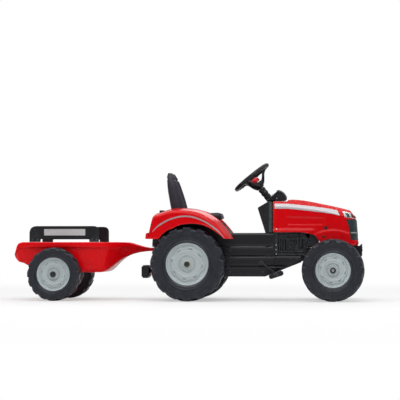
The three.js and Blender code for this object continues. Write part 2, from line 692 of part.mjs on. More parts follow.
function bonnetShell() {
  // The wall is 3 mm, and 7 mm in the nose, where the grille and lamps are let in.
  const hollows = [
    common(hoodSkin(3, 200, openBack), midBox(300, 734, 150, 100, 600)),
    common(hoodSkin(7, 200, noseBack(8)), midBox(733, 900, 150, 100, 600)),
  ];
  const zones = [lampZone(-1, GAP), lampZone(1, GAP), grilleZone(GAP)];
  const shell = cut(hoodOuter, ...hollows, midBox(380, 458.5, 54, 440, 520),
    ...zones.map(pocket));
  return join(shell, hingeLug(-1), hingeLug(1));
}

const bonnet = group(root);
add(bonnet, 'bonnet', bonnetShell(), RED);
add(bonnet, 'grille', inlay(grilleZone(0)), BLACK);
for (const [side, sign] of SIDES) {
  add(bonnet, 'headlight_' + side, inlay(lampZone(sign, 0)), LENS);
}

// ---------------------------------------------------------------- trailer
// Stations: x, half width at the rim, half width at the floor, rim height, floor height, lip.
const TUB = [
  [-825, 116, 110, 214, 201, 2], [-821, 123, 118, 231, 192, 3],
  [-815, 131, 125, 250, 184, 5], [-805, 139, 131, 264, 179, 7],
  [-789, 147, 136, 273, 174.5, 10], [-765, 148, 138, 273, 163, 10],
  [-740, 148, 140, 273, 154, 10], [-690, 148, 140, 273, 137, 10],
  [-650, 148, 140, 273, 131, 10], [-415, 148, 138, 273, 131, 10],
  [-386, 136, 112, 273, 143, 9], [-340, 98, 62, 273, 186, 7],
  [-300, 62, 34, 272, 210, 5], [-255, 34, 20, 259, 223, 3],
  [-208, 18, 13, 247.5, 230.2, 1], [-180, 12, 11, 245, 231, 0.5],
];
// Hollow: x, half width at the rim, half width at the floor, floor height.
const TUB_HOLLOW = [
  [-814, 122, 112, 204], [-799, 134, 122, 186], [-782, 144, 130, 179], [-740, 144, 134, 160],
  [-690, 144, 134, 142], [-650, 144, 134, 136], [-418, 144, 132, 136], [-392, 132, 112, 148],
];

function tubRing([x, rimWidth, floorWidth, rimZ, floorZ, lip]) {
  const height = rimZ - floorZ;
  const half = [
    [floorWidth * 0.92, floorZ], [floorWidth, floorZ + height * 0.08],
    [rimWidth, rimZ - Math.min(16, height * 0.3)],
    [rimWidth + lip, rimZ - Math.min(11, height * 0.2)], [rimWidth + lip, rimZ],
  ];
  return [...half.map(([y, z]) => [x, -y, z]), ...half.reverse().map(([y, z]) => [x, y, z])];
}

const hollowRing = ([x, rimWidth, floorWidth, floorZ]) => [
  [x, -floorWidth, floorZ], [x, -rimWidth, 262], [x, -rimWidth, 300],
  [x, rimWidth, 300], [x, rimWidth, 262], [x, floorWidth, floorZ],
];

function trailerTub() {
  const tub = cut(loft(TUB.map(tubRing)), loft(TUB_HOLLOW.map(hollowRing)));
  const axleRibs = [-112, 112].map((y) => box(-640, -610, y - 4, y + 4, 108, 138));
  return cut(join(tub, rodUp(HITCH_X, 0, 229.5, 249.5, 14, 18),
    midBox(-186, HITCH_X, 11, 231, 245), ...axleRibs),
  rodUp(HITCH_X, 0, 200, 300, 6, 16),
  rodAcross(TRAILER_X, TRAIL_Z, -200, 200, TRAIL.shaft + 2 * GAP, 16));
}

const trailer = group(root);
add(trailer, 'trailer_tub', trailerTub(), RED);

// Side view [x, z].
const BOARD = [
  [-750, 273.4], [-699, 273.4], [-699, 287], [-467, 287], [-467, 273.4], [-422, 273.4],
  [-422, 326], ...arc(-444, 326, 22, 20, 90, 4), ...arc(-719, 317, 31, 90, 165, 5),
  [-750, 316],
];
for (const [side, sign] of SIDES) {
  add(trailer, 'side_board_' + side, prism(BOARD, ...span(sign, 146, 154)), BLACK);
}

function trailerAxle() {
  const end = TRAIL.y + nutSeatOf(TRAIL);
  const bar = (y0, y1, radius, facets) => rodAcross(TRAILER_X, TRAIL_Z, y0, y1, radius, facets);
  return join(bar(-end - 1, end + 1, TRAIL.shaft, 14), bar(-end - 4, -end, 11),
    bar(end, end + 4, 11));
}
add(trailer, 'trailer_axle', trailerAxle(), STEEL);

function hitchPin() {
  const ring = new THREE.TorusGeometry(11, 2.2, 6, 16);
  ring.rotateX(Math.PI / 2);
  ring.translate(HITCH_X, 0, 279);
  return join(rodUp(HITCH_X, 0, 214, 262, 5, 14), rodUp(HITCH_X, 0, 257.4, 269, 9, 14), ring);
}
add(group(root), 'hitch_pin', hitchPin(), STEEL);

export default root;
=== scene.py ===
"""Looks for a pedal tractor and its trailer, with floor, lights and camera.

X points forward, Y to the left and Z up. The ground is z = 0 and the rear axle is at x = 0.
Lengths are millimetres, except in the shaders, lights and camera, which use metres.
"""
import bpy
import bmesh
import math
from collections import namedtuple
import numpy as np
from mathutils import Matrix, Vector

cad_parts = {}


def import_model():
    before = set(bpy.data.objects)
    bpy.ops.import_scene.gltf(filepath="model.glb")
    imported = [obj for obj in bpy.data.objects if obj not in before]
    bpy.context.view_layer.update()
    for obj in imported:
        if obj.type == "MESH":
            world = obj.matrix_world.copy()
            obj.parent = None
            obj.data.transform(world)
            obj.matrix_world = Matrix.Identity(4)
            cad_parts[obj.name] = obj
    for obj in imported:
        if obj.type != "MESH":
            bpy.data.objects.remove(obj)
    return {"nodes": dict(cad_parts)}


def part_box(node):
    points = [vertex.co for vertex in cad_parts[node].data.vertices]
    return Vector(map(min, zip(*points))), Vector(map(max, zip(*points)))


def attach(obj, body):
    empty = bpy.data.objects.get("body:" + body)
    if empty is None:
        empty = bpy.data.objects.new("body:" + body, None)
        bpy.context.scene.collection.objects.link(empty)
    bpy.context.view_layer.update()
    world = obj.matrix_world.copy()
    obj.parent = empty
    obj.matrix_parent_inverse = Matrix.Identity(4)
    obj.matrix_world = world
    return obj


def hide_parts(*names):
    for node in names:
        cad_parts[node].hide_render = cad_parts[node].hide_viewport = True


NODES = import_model()["nodes"]
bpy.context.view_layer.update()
MM = 0.001
SIDES = ((-1, "right"), (1, "left"))


def centre(node):
    low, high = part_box(node)
    return (np.array(low) + np.array(high)) / 2 / MM


# radius is the tyre's, and also the axle's height; hub is the hub's radius
Wheel = namedtuple("Wheel", "name radius half_width hub y x bore")
REAR = Wheel("rear", centre("rear_tyre_right")[2], 48.0, 100.0, 192.0, 0.0, 7.4)
FRONT = Wheel("front", centre("front_tyre_right")[2], 42.0, 81.5, 183.0, 667.0, 6.4)
TRAILER = Wheel("trailer", centre("trailer_tyre_right")[2], 36.0, 79.0, 189.0, -625.0, 6.4)
LUGS = 16
HUB_LOBES = 8
HUB_TURN = math.radians(-11.0)

RAKE = math.radians(39)           # steering column and gauge faces
HINGE_X, HINGE_Z = 766, 264       # bonnet hinge pin


# ------------------------------------------------------------------ materials
def new_material(name):
    material = bpy.data.materials.new(name)
    material.use_nodes = True
    return material, material.node_tree, material.node_tree.nodes["Principled BSDF"]


def add_node(tree, kind, inputs, **settings):
    """Shader node; each input is given a value, or a socket to link from."""
    node = tree.nodes.new("ShaderNode" + kind)
    for key, value in settings.items():
        setattr(node, key, value)
    for key, value in inputs.items():
        if isinstance(value, bpy.types.NodeSocket):
            tree.links.new(value, node.inputs[key])
        else:
            node.inputs[key].default_value = value
    return node


def rgba(colour):
    """Opaque colour from a grey level or three channels."""
    return (*np.clip(np.broadcast_to(colour, 3), 0, 1), 1)


def ramp(tree, source, start, end, low=0.0, high=1.0):
    node = add_node(tree, "ValToRGB", {"Fac": source})
    for stop, position, colour in zip(node.color_ramp.elements, (start, end), (low, high)):
        stop.position, stop.color = position, rgba(colour)
    return node.outputs["Color"]


def mix(tree, factor, under, over):
    """Colour mix; inputs 0, 6 and 7 are the factor and the two colours."""
    inputs = {0: factor, 6: under, 7: rgba(over)}
    return add_node(tree, "Mix", inputs, data_type="RGBA").outputs[2]


def multiply(tree, first, second):
    return add_node(tree, "Math", {0: first, 1: second}, operation="MULTIPLY").outputs[0]


def moulded(name, rgb, rough=0.45, mottle=0.06, grain=0.10, grain_size=0.7, coat=0.0, edge_wear_and_highlight=0.10,
            edge_wear_and_highlight_rgb=None, metallic=0.0, spec=0.5, scuff=0.05, peel=0.0, dust=0.0, brushed=False):
    """Moulded or painted surface: cloudy colour, fine grain, faint scuffs, paler edges (worn, plus
    painted highlight).

    mottle, the paler-edge strength, scuff, dust, grain and peel are strengths; peel is a long, low
    wave.
    """
    material, tree, shader = new_material(name)
    coords = add_node(tree, "TexCoord", {}).outputs["Object"]
    base = np.array(rgb)

    def noise(scale, detail, roughness, stretch=None):
        place = coords
        if stretch:
            mapping = add_node(tree, "Mapping", {"Vector": coords, "Scale": stretch})
            place = mapping.outputs["Vector"]
        inputs = {"Vector": place, "Scale": scale, "Detail": detail, "Roughness": roughness}
        return add_node(tree, "TexNoise", inputs).outputs["Fac"]

    def link(source, key):
        tree.links.new(source, shader.inputs[key])

    colour = ramp(tree, noise(scale=9, detail=5, roughness=0.6), 0.32, 0.68,
                  low=base * (1 - mottle * 1.6), high=base * (1 + mottle) + mottle * 0.01)

    # paler edges, broken up by noise: partly worn plastic, partly a painted highlight along the
    # edges
    pointiness = add_node(tree, "NewGeometry", {}).outputs["Pointiness"]
    edge = ramp(tree, pointiness, 0.515, 0.60, high=edge_wear_and_highlight)
    broken = ramp(tree, noise(scale=60, detail=4, roughness=0.7), 0.40, 0.62)
    colour = mix(tree, multiply(tree, edge, broken), colour, edge_wear_and_highlight_rgb or base * 1.25 + 0.10)

    hair = noise(scale=26, detail=6, roughness=0.72, stretch=(1.0, 1.0, 3.2))
    colour = mix(tree, ramp(tree, hair, 0.62, 0.74, high=scuff), colour, base * 1.1 + 0.16)

    if dust > 0:
        height = add_node(tree, "SeparateXYZ", {0: coords}).outputs["Z"]
        low = add_node(tree, "MapRange", {
            "Value": height, "From Min": 0.12, "From Max": 0.0,
            "To Min": 0.25 * dust, "To Max": dust}).outputs[0]
        patches = ramp(tree, noise(scale=34, detail=6, roughness=0.7), 0.42, 0.70)
        colour = mix(tree, multiply(tree, low, patches), colour, (0.33, 0.31, 0.28))
    link(colour, "Base Color")

    cloud = noise(scale=38, detail=4, roughness=0.6, stretch=(1.0, 1.0, 12.0) if brushed else None)
    roughness = add_node(tree, "MapRange", {
        "Value": cloud, "To Min": max(0.03, rough - 0.07), "To Max": min(1.0, rough + 0.10)})
    link(roughness.outputs[0], "Roughness")

    fine = noise(scale=1000.0 / grain_size, detail=3, roughness=0.6)
    relief = add_node(tree, "Bump", {"Strength": grain, "Distance": 0.0004, "Height": fine})
    if peel > 0:
        relief = add_node(tree, "Bump", {
            "Strength": peel, "Distance": 0.0012,
            "Height": noise(scale=70, detail=2, roughness=0.4),
            "Normal": relief.outputs["Normal"]})
    link(relief.outputs["Normal"], "Normal")
    for key, value in (("Metallic", metallic), ("Specular IOR Level", spec),
                       ("Coat Weight", coat), ("Coat Roughness", 0.08)):
        shader.inputs[key].default_value = value
    return material


RED = moulded("red_plastic", (0.60, 0.0008, 0.0040), rough=0.18, mottle=0.03, grain=0.03,
              coat=0.16, spec=0.14, edge_wear_and_highlight=0.08, edge_wear_and_highlight_rgb=(0.95, 0.20, 0.18), peel=0.05, scuff=0.01)
RED_TUB = moulded("red_tub_plastic", (0.72, 0.0015, 0.005), rough=0.26, mottle=0.04, grain=0.05,
                  coat=0.08, spec=0.10, edge_wear_and_highlight=0.12, edge_wear_and_highlight_rgb=(0.95, 0.22, 0.20), peel=0.10,
                  scuff=0.02)
BLACK = moulded("black_plastic", (0.0080, 0.0080, 0.0108), rough=0.32, mottle=0.12, grain=0.12,
                spec=0.34, edge_wear_and_highlight=0.14, edge_wear_and_highlight_rgb=(0.13, 0.13, 0.14), scuff=0.02, peel=0.05)
# the pale edge tint is partly a painted highlight along the relief, partly worn edges
ENGINE = moulded("black_engine_plastic", (0.0075, 0.0095, 0.0135), rough=0.30, mottle=0.15,
                 grain=0.10, spec=0.48, edge_wear_and_highlight=0.20, edge_wear_and_highlight_rgb=(0.16, 0.18, 0.20), scuff=0.02)
GLOSS = moulded("gloss_black_plastic", (0.010, 0.011, 0.013), rough=0.14, mottle=0.08, grain=0.03,
                coat=0.9, spec=0.5, edge_wear_and_highlight=0.12, edge_wear_and_highlight_rgb=(0.12, 0.12, 0.13), scuff=0.012)
SEAT = moulded("seat_plastic", (0.022, 0.017, 0.027), rough=0.42, mottle=0.12, grain=0.26,
               grain_size=1.6, spec=0.30, edge_wear_and_highlight=0.15, edge_wear_and_highlight_rgb=(0.14, 0.13, 0.17), scuff=0.02)
# the strong bluish edge tint is mostly a painted highlight on the lug edges, with some worn edges
TYRE = moulded("tyre_plastic", (0.0100, 0.0125, 0.0190), rough=0.34, mottle=0.16, grain=0.20,
               grain_size=1.1, spec=0.38, edge_wear_and_highlight=0.45, edge_wear_and_highlight_rgb=(0.14, 0.17, 0.25), scuff=0.03,
               dust=0.06)
HUB = moulded("hub_grey_plastic", (0.405, 0.455, 0.460), rough=0.34, mottle=0.05, grain=0.06,
              coat=0.10, spec=0.35, edge_wear_and_highlight=0.16, edge_wear_and_highlight_rgb=(0.68, 0.72, 0.73), scuff=0.04, peel=0.06)
SILVER = moulded("silver_band", (0.52, 0.50, 0.52), rough=0.30, mottle=0.03, grain=0.03,
                 coat=0.25, metallic=0.25, scuff=0.03, edge_wear_and_highlight=0.05)
STRIPE = moulded("mudguard_band", (0.36, 0.30, 0.31), rough=0.32, mottle=0.05, grain=0.03,
                 coat=0.15, metallic=0.2, scuff=0.04, edge_wear_and_highlight=0.05)
LABEL = moulded("label_panel", (0.50, 0.48, 0.48), rough=0.34, mottle=0.04, grain=0.03,
                coat=0.15, metallic=0.15, scuff=0.05, edge_wear_and_highlight=0.05)
STEEL = moulded("zinc_steel", (0.46, 0.47, 0.48), rough=0.32, mottle=0.08, grain=0.05,
                metallic=1.0, scuff=0.05, brushed=True)
DARK = moulded("dark_steel", (0.035, 0.037, 0.040), rough=0.40, mottle=0.15, grain=0.10,
               metallic=0.75, scuff=0.05, edge_wear_and_highlight=0.3, edge_wear_and_highlight_rgb=(0.30, 0.30, 0.31))
# pale grey for the strip that paints a highlight on the binnacle's glossy edge
BINNACLE_HIGHLIGHT_GREY = moulded("binnacle_highlight_grey", (0.16, 0.165, 0.175), rough=0.20, mottle=0.05, grain=0.03,
                coat=0.6, scuff=0.02)
# the pale edge tint paints the highlight lines along the upright's edges, over some worn edges
UPRIGHT = moulded("grey_green_plastic", (0.022, 0.032, 0.033), rough=0.30, mottle=0.12,
                  grain=0.10, spec=0.5, edge_wear_and_highlight=0.25, edge_wear_and_highlight_rgb=(0.18, 0.22, 0.22), scuff=0.02)
BRASS = moulded("passivated_ring", (0.34, 0.29, 0.17), rough=0.30, mottle=0.10, grain=0.05,
                metallic=1.0, scuff=0.05)
NYLON = moulded("nylon_bush", (0.74, 0.73, 0.68), rough=0.5, grain=0.08)
WHITE = moulded("white_rivet", (0.70, 0.71, 0.72), rough=0.4, grain=0.05)
CHAIN = moulded("chain_steel", (0.10, 0.095, 0.085), rough=0.42, mottle=0.2, grain=0.2,
                metallic=0.85, scuff=0.05)
RED_LAMP = moulded("red_lamp", (0.13, 0.006, 0.008), rough=0.16, grain=0.02, coat=0.1, spec=0.2)
DARK_LAMP = moulded("dark_lamp", (0.006, 0.045, 0.030), rough=0.16, grain=0.02, coat=0.1, spec=0.2)
TEAL = moulded("dark_teal_plastic", (0.010, 0.028, 0.030), rough=0.30, mottle=0.15, grain=0.08,
               spec=0.3, edge_wear_and_highlight=0.25, edge_wear_and_highlight_rgb=(0.16, 0.20, 0.20), scuff=0.02)
CHROME = moulded("lamp_reflector", (0.50, 0.51, 0.50), rough=0.18, mottle=0.03, grain=0.02,
                 metallic=0.45, coat=0.4)
DIAL = moulded("dial_face", (0.62, 0.63, 0.62), rough=0.35, grain=0.03, coat=0.3)
HORN = moulded("red_horn_plastic", (0.58, 0.003, 0.008), rough=0.30, mottle=0.03, grain=0.05,
               coat=0.25, spec=0.3)


# ------------------------------------------------------------------ curves and outlines
def smoothstep(low, high, value):
    part = np.clip((np.asarray(value, float) - low) / (high - low), 0, 1)
    return part * part * (3 - 2 * part)


def fade(low, high, value):
    """1 below low, easing to 0 above high."""
    return 1 - smoothstep(low, high, value)


def bell(value, middle, width):
    return np.exp(-((value - middle) / width) ** 2)


def signed_power(value, power):
    return np.sign(value) * np.abs(value) ** power


def circle(count):
    """Evenly spaced angles round a full turn."""
    return np.linspace(0, 2 * math.pi, count, endpoint=False)


def span(side, near, far):
    """Two distances from the middle plane, as an ordered pair of Y values on one side."""
    return sorted((side * near, side * far))


def pchip(x, knots, values):
    """Cubic through the knots that never overshoots them, held level past both ends."""
    knots, values = np.asarray(knots, float), np.asarray(values, float)
    step = np.diff(knots)
    grade = np.diff(values) / step
    before, after = grade[:-1], grade[1:]
    slope = np.zeros(len(knots))
    slope[1:-1] = np.where(before * after > 0,
                           2 * before * after / (before + after + 1e-12), 0)
    slope[0], slope[-1] = grade[0], grade[-1]
    x = np.clip(np.asarray(x, float), knots[0], knots[-1])
    i = np.clip(np.searchsorted(knots, x) - 1, 0, len(step) - 1)
    part = (x - knots[i]) / step[i]
    rest = 1 - part
    return ((1 + 2 * part) * rest ** 2 * values[i] + part * rest ** 2 * step[i] * slope[i]
            + part * part * (3 - 2 * part) * values[i + 1]
            + part * part * (part - 1) * step[i] * slope[i + 1])


def stations(table, count):
    """Station numbers, spread evenly, and each column of the table smoothed over them."""
    place = np.linspace(0, len(table) - 1, count)
    return place, [pchip(place, np.arange(len(table)), column) for column in zip(*table)]


def arc_length(line):
    return np.r_[0, np.cumsum(np.linalg.norm(np.diff(line, axis=0), axis=1))]


def directions(line):
    step = np.gradient(line, axis=0)
    return step / np.linalg.norm(step, axis=1)[:, None]


def normals(line):
    """Unit normals of a flat line, a quarter turn anticlockwise from its direction."""
    along = directions(line)
    return np.stack([-along[:, 1], along[:, 0]], 1)


def resample(line, count, closed=False):
    length = arc_length(line)
    place = np.linspace(0, length[-1], count, endpoint=not closed)
    return np.stack([np.interp(place, length, column) for column in line.T], 1)


def curve(points, count, closed=False):
    """Catmull-Rom through the points, resampled to count points of equal arc length."""
    points = np.asarray(points, float)
    if closed:
        padded = np.vstack([points[-1:], points, points[:2]])
    else:
        padded = np.vstack([2 * points[0] - points[1], points, 2 * points[-1] - points[-2]])
    part = np.linspace(0, 1, 24, endpoint=False)[:, None]
    pieces = []
    for before, start, end, after in zip(padded, padded[1:], padded[2:], padded[3:]):
        pieces.append(0.5 * (2 * start + (end - before) * part
                             + (2 * before - 5 * start + 4 * end - after) * part ** 2
                             + (-before + 3 * start - 3 * end + after) * part ** 3))
    pieces.append(points[:1] if closed else points[-1:])
    return resample(np.vstack(pieces), count, closed)


def rounded(points, radius, steps=6):
    """Closed outline with its corners rounded by one radius or one per corner."""
    points = np.asarray(points, float)
    out = []
    for i, reach in enumerate(np.broadcast_to(radius, len(points))):
        corner = points[i]
        back, ahead = points[i - 1] - corner, points[(i + 1) % len(points)] - corner
        back_length, ahead_length = np.linalg.norm(back), np.linalg.norm(ahead)
        back, ahead = back / back_length, ahead / ahead_length
        angle = math.acos(np.clip(np.dot(back, ahead), -1, 1))
        if reach <= 0 or angle > math.pi - 0.05:
            out.append(corner)
            continue
        trim = min(reach / math.tan(angle / 2), 0.48 * back_length, 0.48 * ahead_length)
        start, end = corner + back * trim, corner + ahead * trim
        for part in np.linspace(0, 1, steps):
            out.append((1 - part) ** 2 * start + 2 * part * (1 - part) * corner
                       + part * part * end)
    return np.array(out)


def rectangle(x_low, x_high, z_low, z_high, radius=0, steps=6):
    corners = [(x_low, z_low), (x_high, z_low), (x_high, z_high), (x_low, z_high)]
    return rounded(corners, radius, steps)


def facing(x, y, z, side):
    """Frame whose local Z points along side * Y."""
    return np.array([[1, 0, 0, x], [0, 0, side, y], [0, -side, 0, z], [0, 0, 0, 1]], float)


def tilted(x, y, z, angle):
    """Frame whose local X points forward and up by the angle, and local Z up and back."""
    cos, sin = math.cos(angle), math.sin(angle)
    return np.array([[cos, 0, -sin, x], [0, 1, 0, y], [sin, 0, cos, z], [0, 0, 0, 1]], float)


# ------------------------------------------------------------------ meshes and objects
def face_outward(work):
    bmesh.ops.recalc_face_normals(work, faces=work.faces)


def mesh_object(name, vertices, faces, material, tidy=face_outward):
    mesh = bpy.data.meshes.new(name)
    mesh.from_pydata((np.asarray(vertices) * MM).tolist(), [], faces)
    mesh.update()
    if tidy:
        work = bmesh.new()
        work.from_mesh(mesh)
        tidy(work)
        work.to_mesh(mesh)
        work.free()
    item = bpy.data.objects.new(name, mesh)
    bpy.context.scene.collection.objects.link(item)
    if material:
        mesh.materials.append(material)
    return item


def declare(item, body, stands=None):
    """Parent the object to its body's empty and hide the CAD node it replaces."""
    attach(item, body)
    if stands:
        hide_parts(stands)


def round_edges(item, width, angle, segments=2):
    bevel = item.modifiers.new("edge", "BEVEL")
    bevel.width, bevel.segments = width * MM, segments
    bevel.limit_method, bevel.angle_limit = "ANGLE", math.radians(angle)
    return bevel


def weight_normals(item):
    weighted = item.modifiers.new("normals", "WEIGHTED_NORMAL")
    weighted.weight = 60
    return weighted


class Solid:
    """Collects closed solids into one mesh."""

    def __init__(self):
        self.vertices, self.faces, self.count = [], [], 0

    def add(self, vertices, faces, matrix=None):
        vertices = np.asarray(vertices, float)
        if matrix is not None:
            vertices = vertices @ matrix[:3, :3].T + matrix[:3, 3]
        self.vertices.append(vertices)
        self.faces += [[i + self.count for i in face] for face in faces]
        self.count += len(vertices)
        return self

    def skin(self, rings, joined=False, matrix=None):
        """Skin over a row of closed rings, joined last to first or capped at both ends."""
        rings = np.asarray(rings)
        index = np.arange(rings.shape[0] * rings.shape[1]).reshape(rings.shape[:2])
        near, far = (index, np.roll(index, -1, 0)) if joined else (index[:-1], index[1:])
        quads = np.stack([near, np.roll(near, -1, 1), np.roll(far, -1, 1), far], -1)
        faces = quads.reshape(-1, 4).tolist()
        if not joined:
            faces += [index[0][::-1].tolist(), index[-1].tolist()]
        return self.add(rings.reshape(-1, 3), faces, matrix)

    def prism(self, outline, low, high, axis="y", matrix=None):
        """Outline in x z (axis y) or x y (axis z), drawn along the axis from low to high."""
        outline = np.asarray(outline, float)
        count = len(outline)
        column = 1 if axis == "y" else 2
        ends = [np.insert(outline, column, level, axis=1) for level in (low, high)]
        faces = [[i, (i + 1) % count, count + (i + 1) % count, count + i] for i in range(count)]
        faces += [list(range(count))[::-1], list(range(count, 2 * count))]
        return self.add(np.vstack(ends), faces, matrix)

    def box(self, x_low, x_high, y_low, y_high, z_low, z_high, matrix=None):
        return self.prism(rectangle(x_low, x_high, z_low, z_high), y_low, y_high, matrix=matrix)

    def rod(self, start, end, radius, segments=24, end_radius=None, dome=0.0):
        """Round bar; dome rounds the far end."""
        start = np.asarray(start, float)
        along = np.asarray(end, float) - start
        length = np.linalg.norm(along)
        along = along / length
        across = np.cross(along, [0, 0, 1.0] if abs(along[2]) < 0.9 else [1.0, 0, 0])
        across /= np.linalg.norm(across)
        third = np.cross(along, across)
        tip = end_radius or radius
        profile = [(0, radius)]
        if dome:
            profile += [(length - dome + dome * math.sin(turn), tip - dome + dome * math.cos(turn))
                        for turn in np.linspace(0, math.pi / 2 * 0.96, 6)]
        else:
            profile.append((length, tip))
        turns = circle(segments)[:, None]
        around = across * np.cos(turns) + third * np.sin(turns)
        return self.skin([start + along * place + around * reach for place, reach in profile])

    def lathe(self, profile, segments=48, matrix=None):
        """Closed profile of (radius, along) turned about local Z into a ring."""
        turns = circle(segments)
        radius, along = np.asarray(profile, float).T[:, :, None]
        rings = np.stack([radius * np.cos(turns), radius * np.sin(turns),
                          np.repeat(along, segments, 1)], -1)
        return self.skin(rings, joined=True, matrix=matrix)

    def studs(self, profile, segments, side, y, places):
        """The same turned profile at each (x, z) place, facing out from one side."""
        for x, z in places:
            self.lathe(profile, segments, facing(x, side * y, z, side))
        return self

    def sweep(self, path, radius, segments=12):
        """Round bar along a path of points."""
        turns = circle(segments)[:, None]
        aheads = directions(path)
        up = np.array([0, 1.0, 0]) if abs(aheads[0][1]) < 0.9 else np.array([0, 0, 1.0])
        rings = []
        for place, ahead in zip(path, aheads):
            across = np.cross(ahead, up)
            across /= np.linalg.norm(across)
            up = np.cross(across, ahead)
            rings.append(place + radius * (np.cos(turns) * across + np.sin(turns) * up))
        return self.skin(rings)

    def sheet(self, surface, columns, rows, low, high):
        """Thin closed sheet between two offsets; surface(across, up, offset) gives points."""
        across, up = np.meshgrid(np.linspace(0, 1, columns), np.linspace(0, 1, rows),
                                 indexing="ij")
        points = [surface(across, up, offset).reshape(-1, 3) for offset in (high, low)]
        index = np.arange(columns * rows).reshape(columns, rows)
        count = columns * rows
        quads = np.stack([index[:-1, :-1], index[1:, :-1], index[1:, 1:], index[:-1, 1:]], -1)
        faces = quads.reshape(-1, 4).tolist()
        faces += [[i + count for i in face[::-1]] for face in faces]
        border = [*index[:, 0], *index[-1, 1:], *index[-2::-1, -1], *index[0, -2:0:-1]]
        border = [int(i) for i in border]
        faces += [[i, j, j + count, i + count] for i, j in zip(border, border[1:] + border[:1])]
        return self.add(np.vstack(points), faces)

    def make(self, name, material, body, slot, stands=None, sharp=32, bevel=0.0, segments=2,
             bevel_angle=30, mirrored=False):
        vertices, faces = np.vstack(self.vertices), self.faces
        if mirrored:
            vertices = vertices * [1, -1, 1]
            faces = [face[::-1] for face in faces]
        item = mesh_object(name, vertices, faces, material)
        item.data.shade_smooth()
        item.data.set_sharp_from_angle(angle=math.radians(sharp))
        if bevel:
            round_edges(item, bevel, bevel_angle, segments).miter_outer = "MITER_ARC"
            weight_normals(item).keep_sharp = True
        declare(item, body, stands)


# ------------------------------------------------------------------ wheels
def spun(wheel, side, radial, across, angle):
    """Points round an axle; across is measured outwards from the middle of the wheel."""
    return np.stack([wheel.x + radial * np.cos(angle), side * wheel.y + side * across,
                     wheel.radius + radial * np.sin(angle)], -1)


def make_tyre(wheel, node, body, side):
    radius, half_width, hub = wheel.radius, wheel.half_width, wheel.hub
    depth = radius - hub
    lug_height = 0.047 * radius
    base = radius - lug_height
    # (radius, across) from the middle of the tread to the bead
    half = curve([
        (base + 0.3, 0), (base + 0.1, 0.5 * half_width), (base - 0.4, 0.80 * half_width),
        (base - 0.07 * depth, 0.935 * half_width), (hub + 0.66 * depth, 0.982 * half_width),
        (hub + 0.46 * depth, half_width - 1.0), (hub + 0.30 * depth, 0.975 * half_width),
        (hub + 0.20 * depth, 0.955 * half_width), (hub + 0.150 * depth, 0.885 * half_width),
        (hub + 0.095 * depth, 0.945 * half_width), (hub + 0.05 * depth, 0.91 * half_width),
        (hub + 0.6, 0.87 * half_width), (hub + 0.3, 0.80 * half_width)], 34)
    profile = np.vstack([half[::-1] * [1, -1], half[1:]])
    outward = -normals(profile)
    length = arc_length(profile)
    length = length - length[len(profile) // 2]
    lug_end = np.interp(0.845 * radius, half[::-1, 0], arc_length(half)[::-1])
    shoulder_place = 0.86 * half_width

    # chevron lugs: the two halves are half a pitch apart and lean back towards the shoulder
    pitch = 2 * math.pi / LUGS
    angle, place = np.meshgrid(circle(LUGS * 28), length, indexing="ij")
    away = np.abs(place)
    stagger = np.where(place > 0, 0.5, 0.0)
    lean = 0.52 * np.clip(away / shoulder_place, 0, 1.0)
    phase = (angle / pitch - stagger - lean + 0.5) % 1.0 - 0.5
    wide = 0.232 + 0.042 * smoothstep(0, shoulder_place, away)
    edge = 2.4 / (base * pitch)
    round_mask = fade(wide - edge, wide + edge, np.abs(phase))
    across_mask = smoothstep(-2.0, 2.0, away) * fade(lug_end - 7, lug_end + 1, away)
    drop = 1 - 0.42 * smoothstep(shoulder_place * 0.95, lug_end, away)
    height = lug_height * round_mask * across_mask * drop
    height = height + 0.9 * bell(profile[:, 0], hub + 0.36 * depth, 1.8)  # side wall ridge

    radial = np.minimum(profile[:, 0] + outward[:, 0] * height, radius)
    across = np.clip(profile[:, 1] + outward[:, 1] * height, -half_width, half_width)
    Solid().skin(spun(wheel, side, radial, across, angle), joined=True).make(
        node + "_moulded", TYRE, body, "tyre", node, sharp=50)


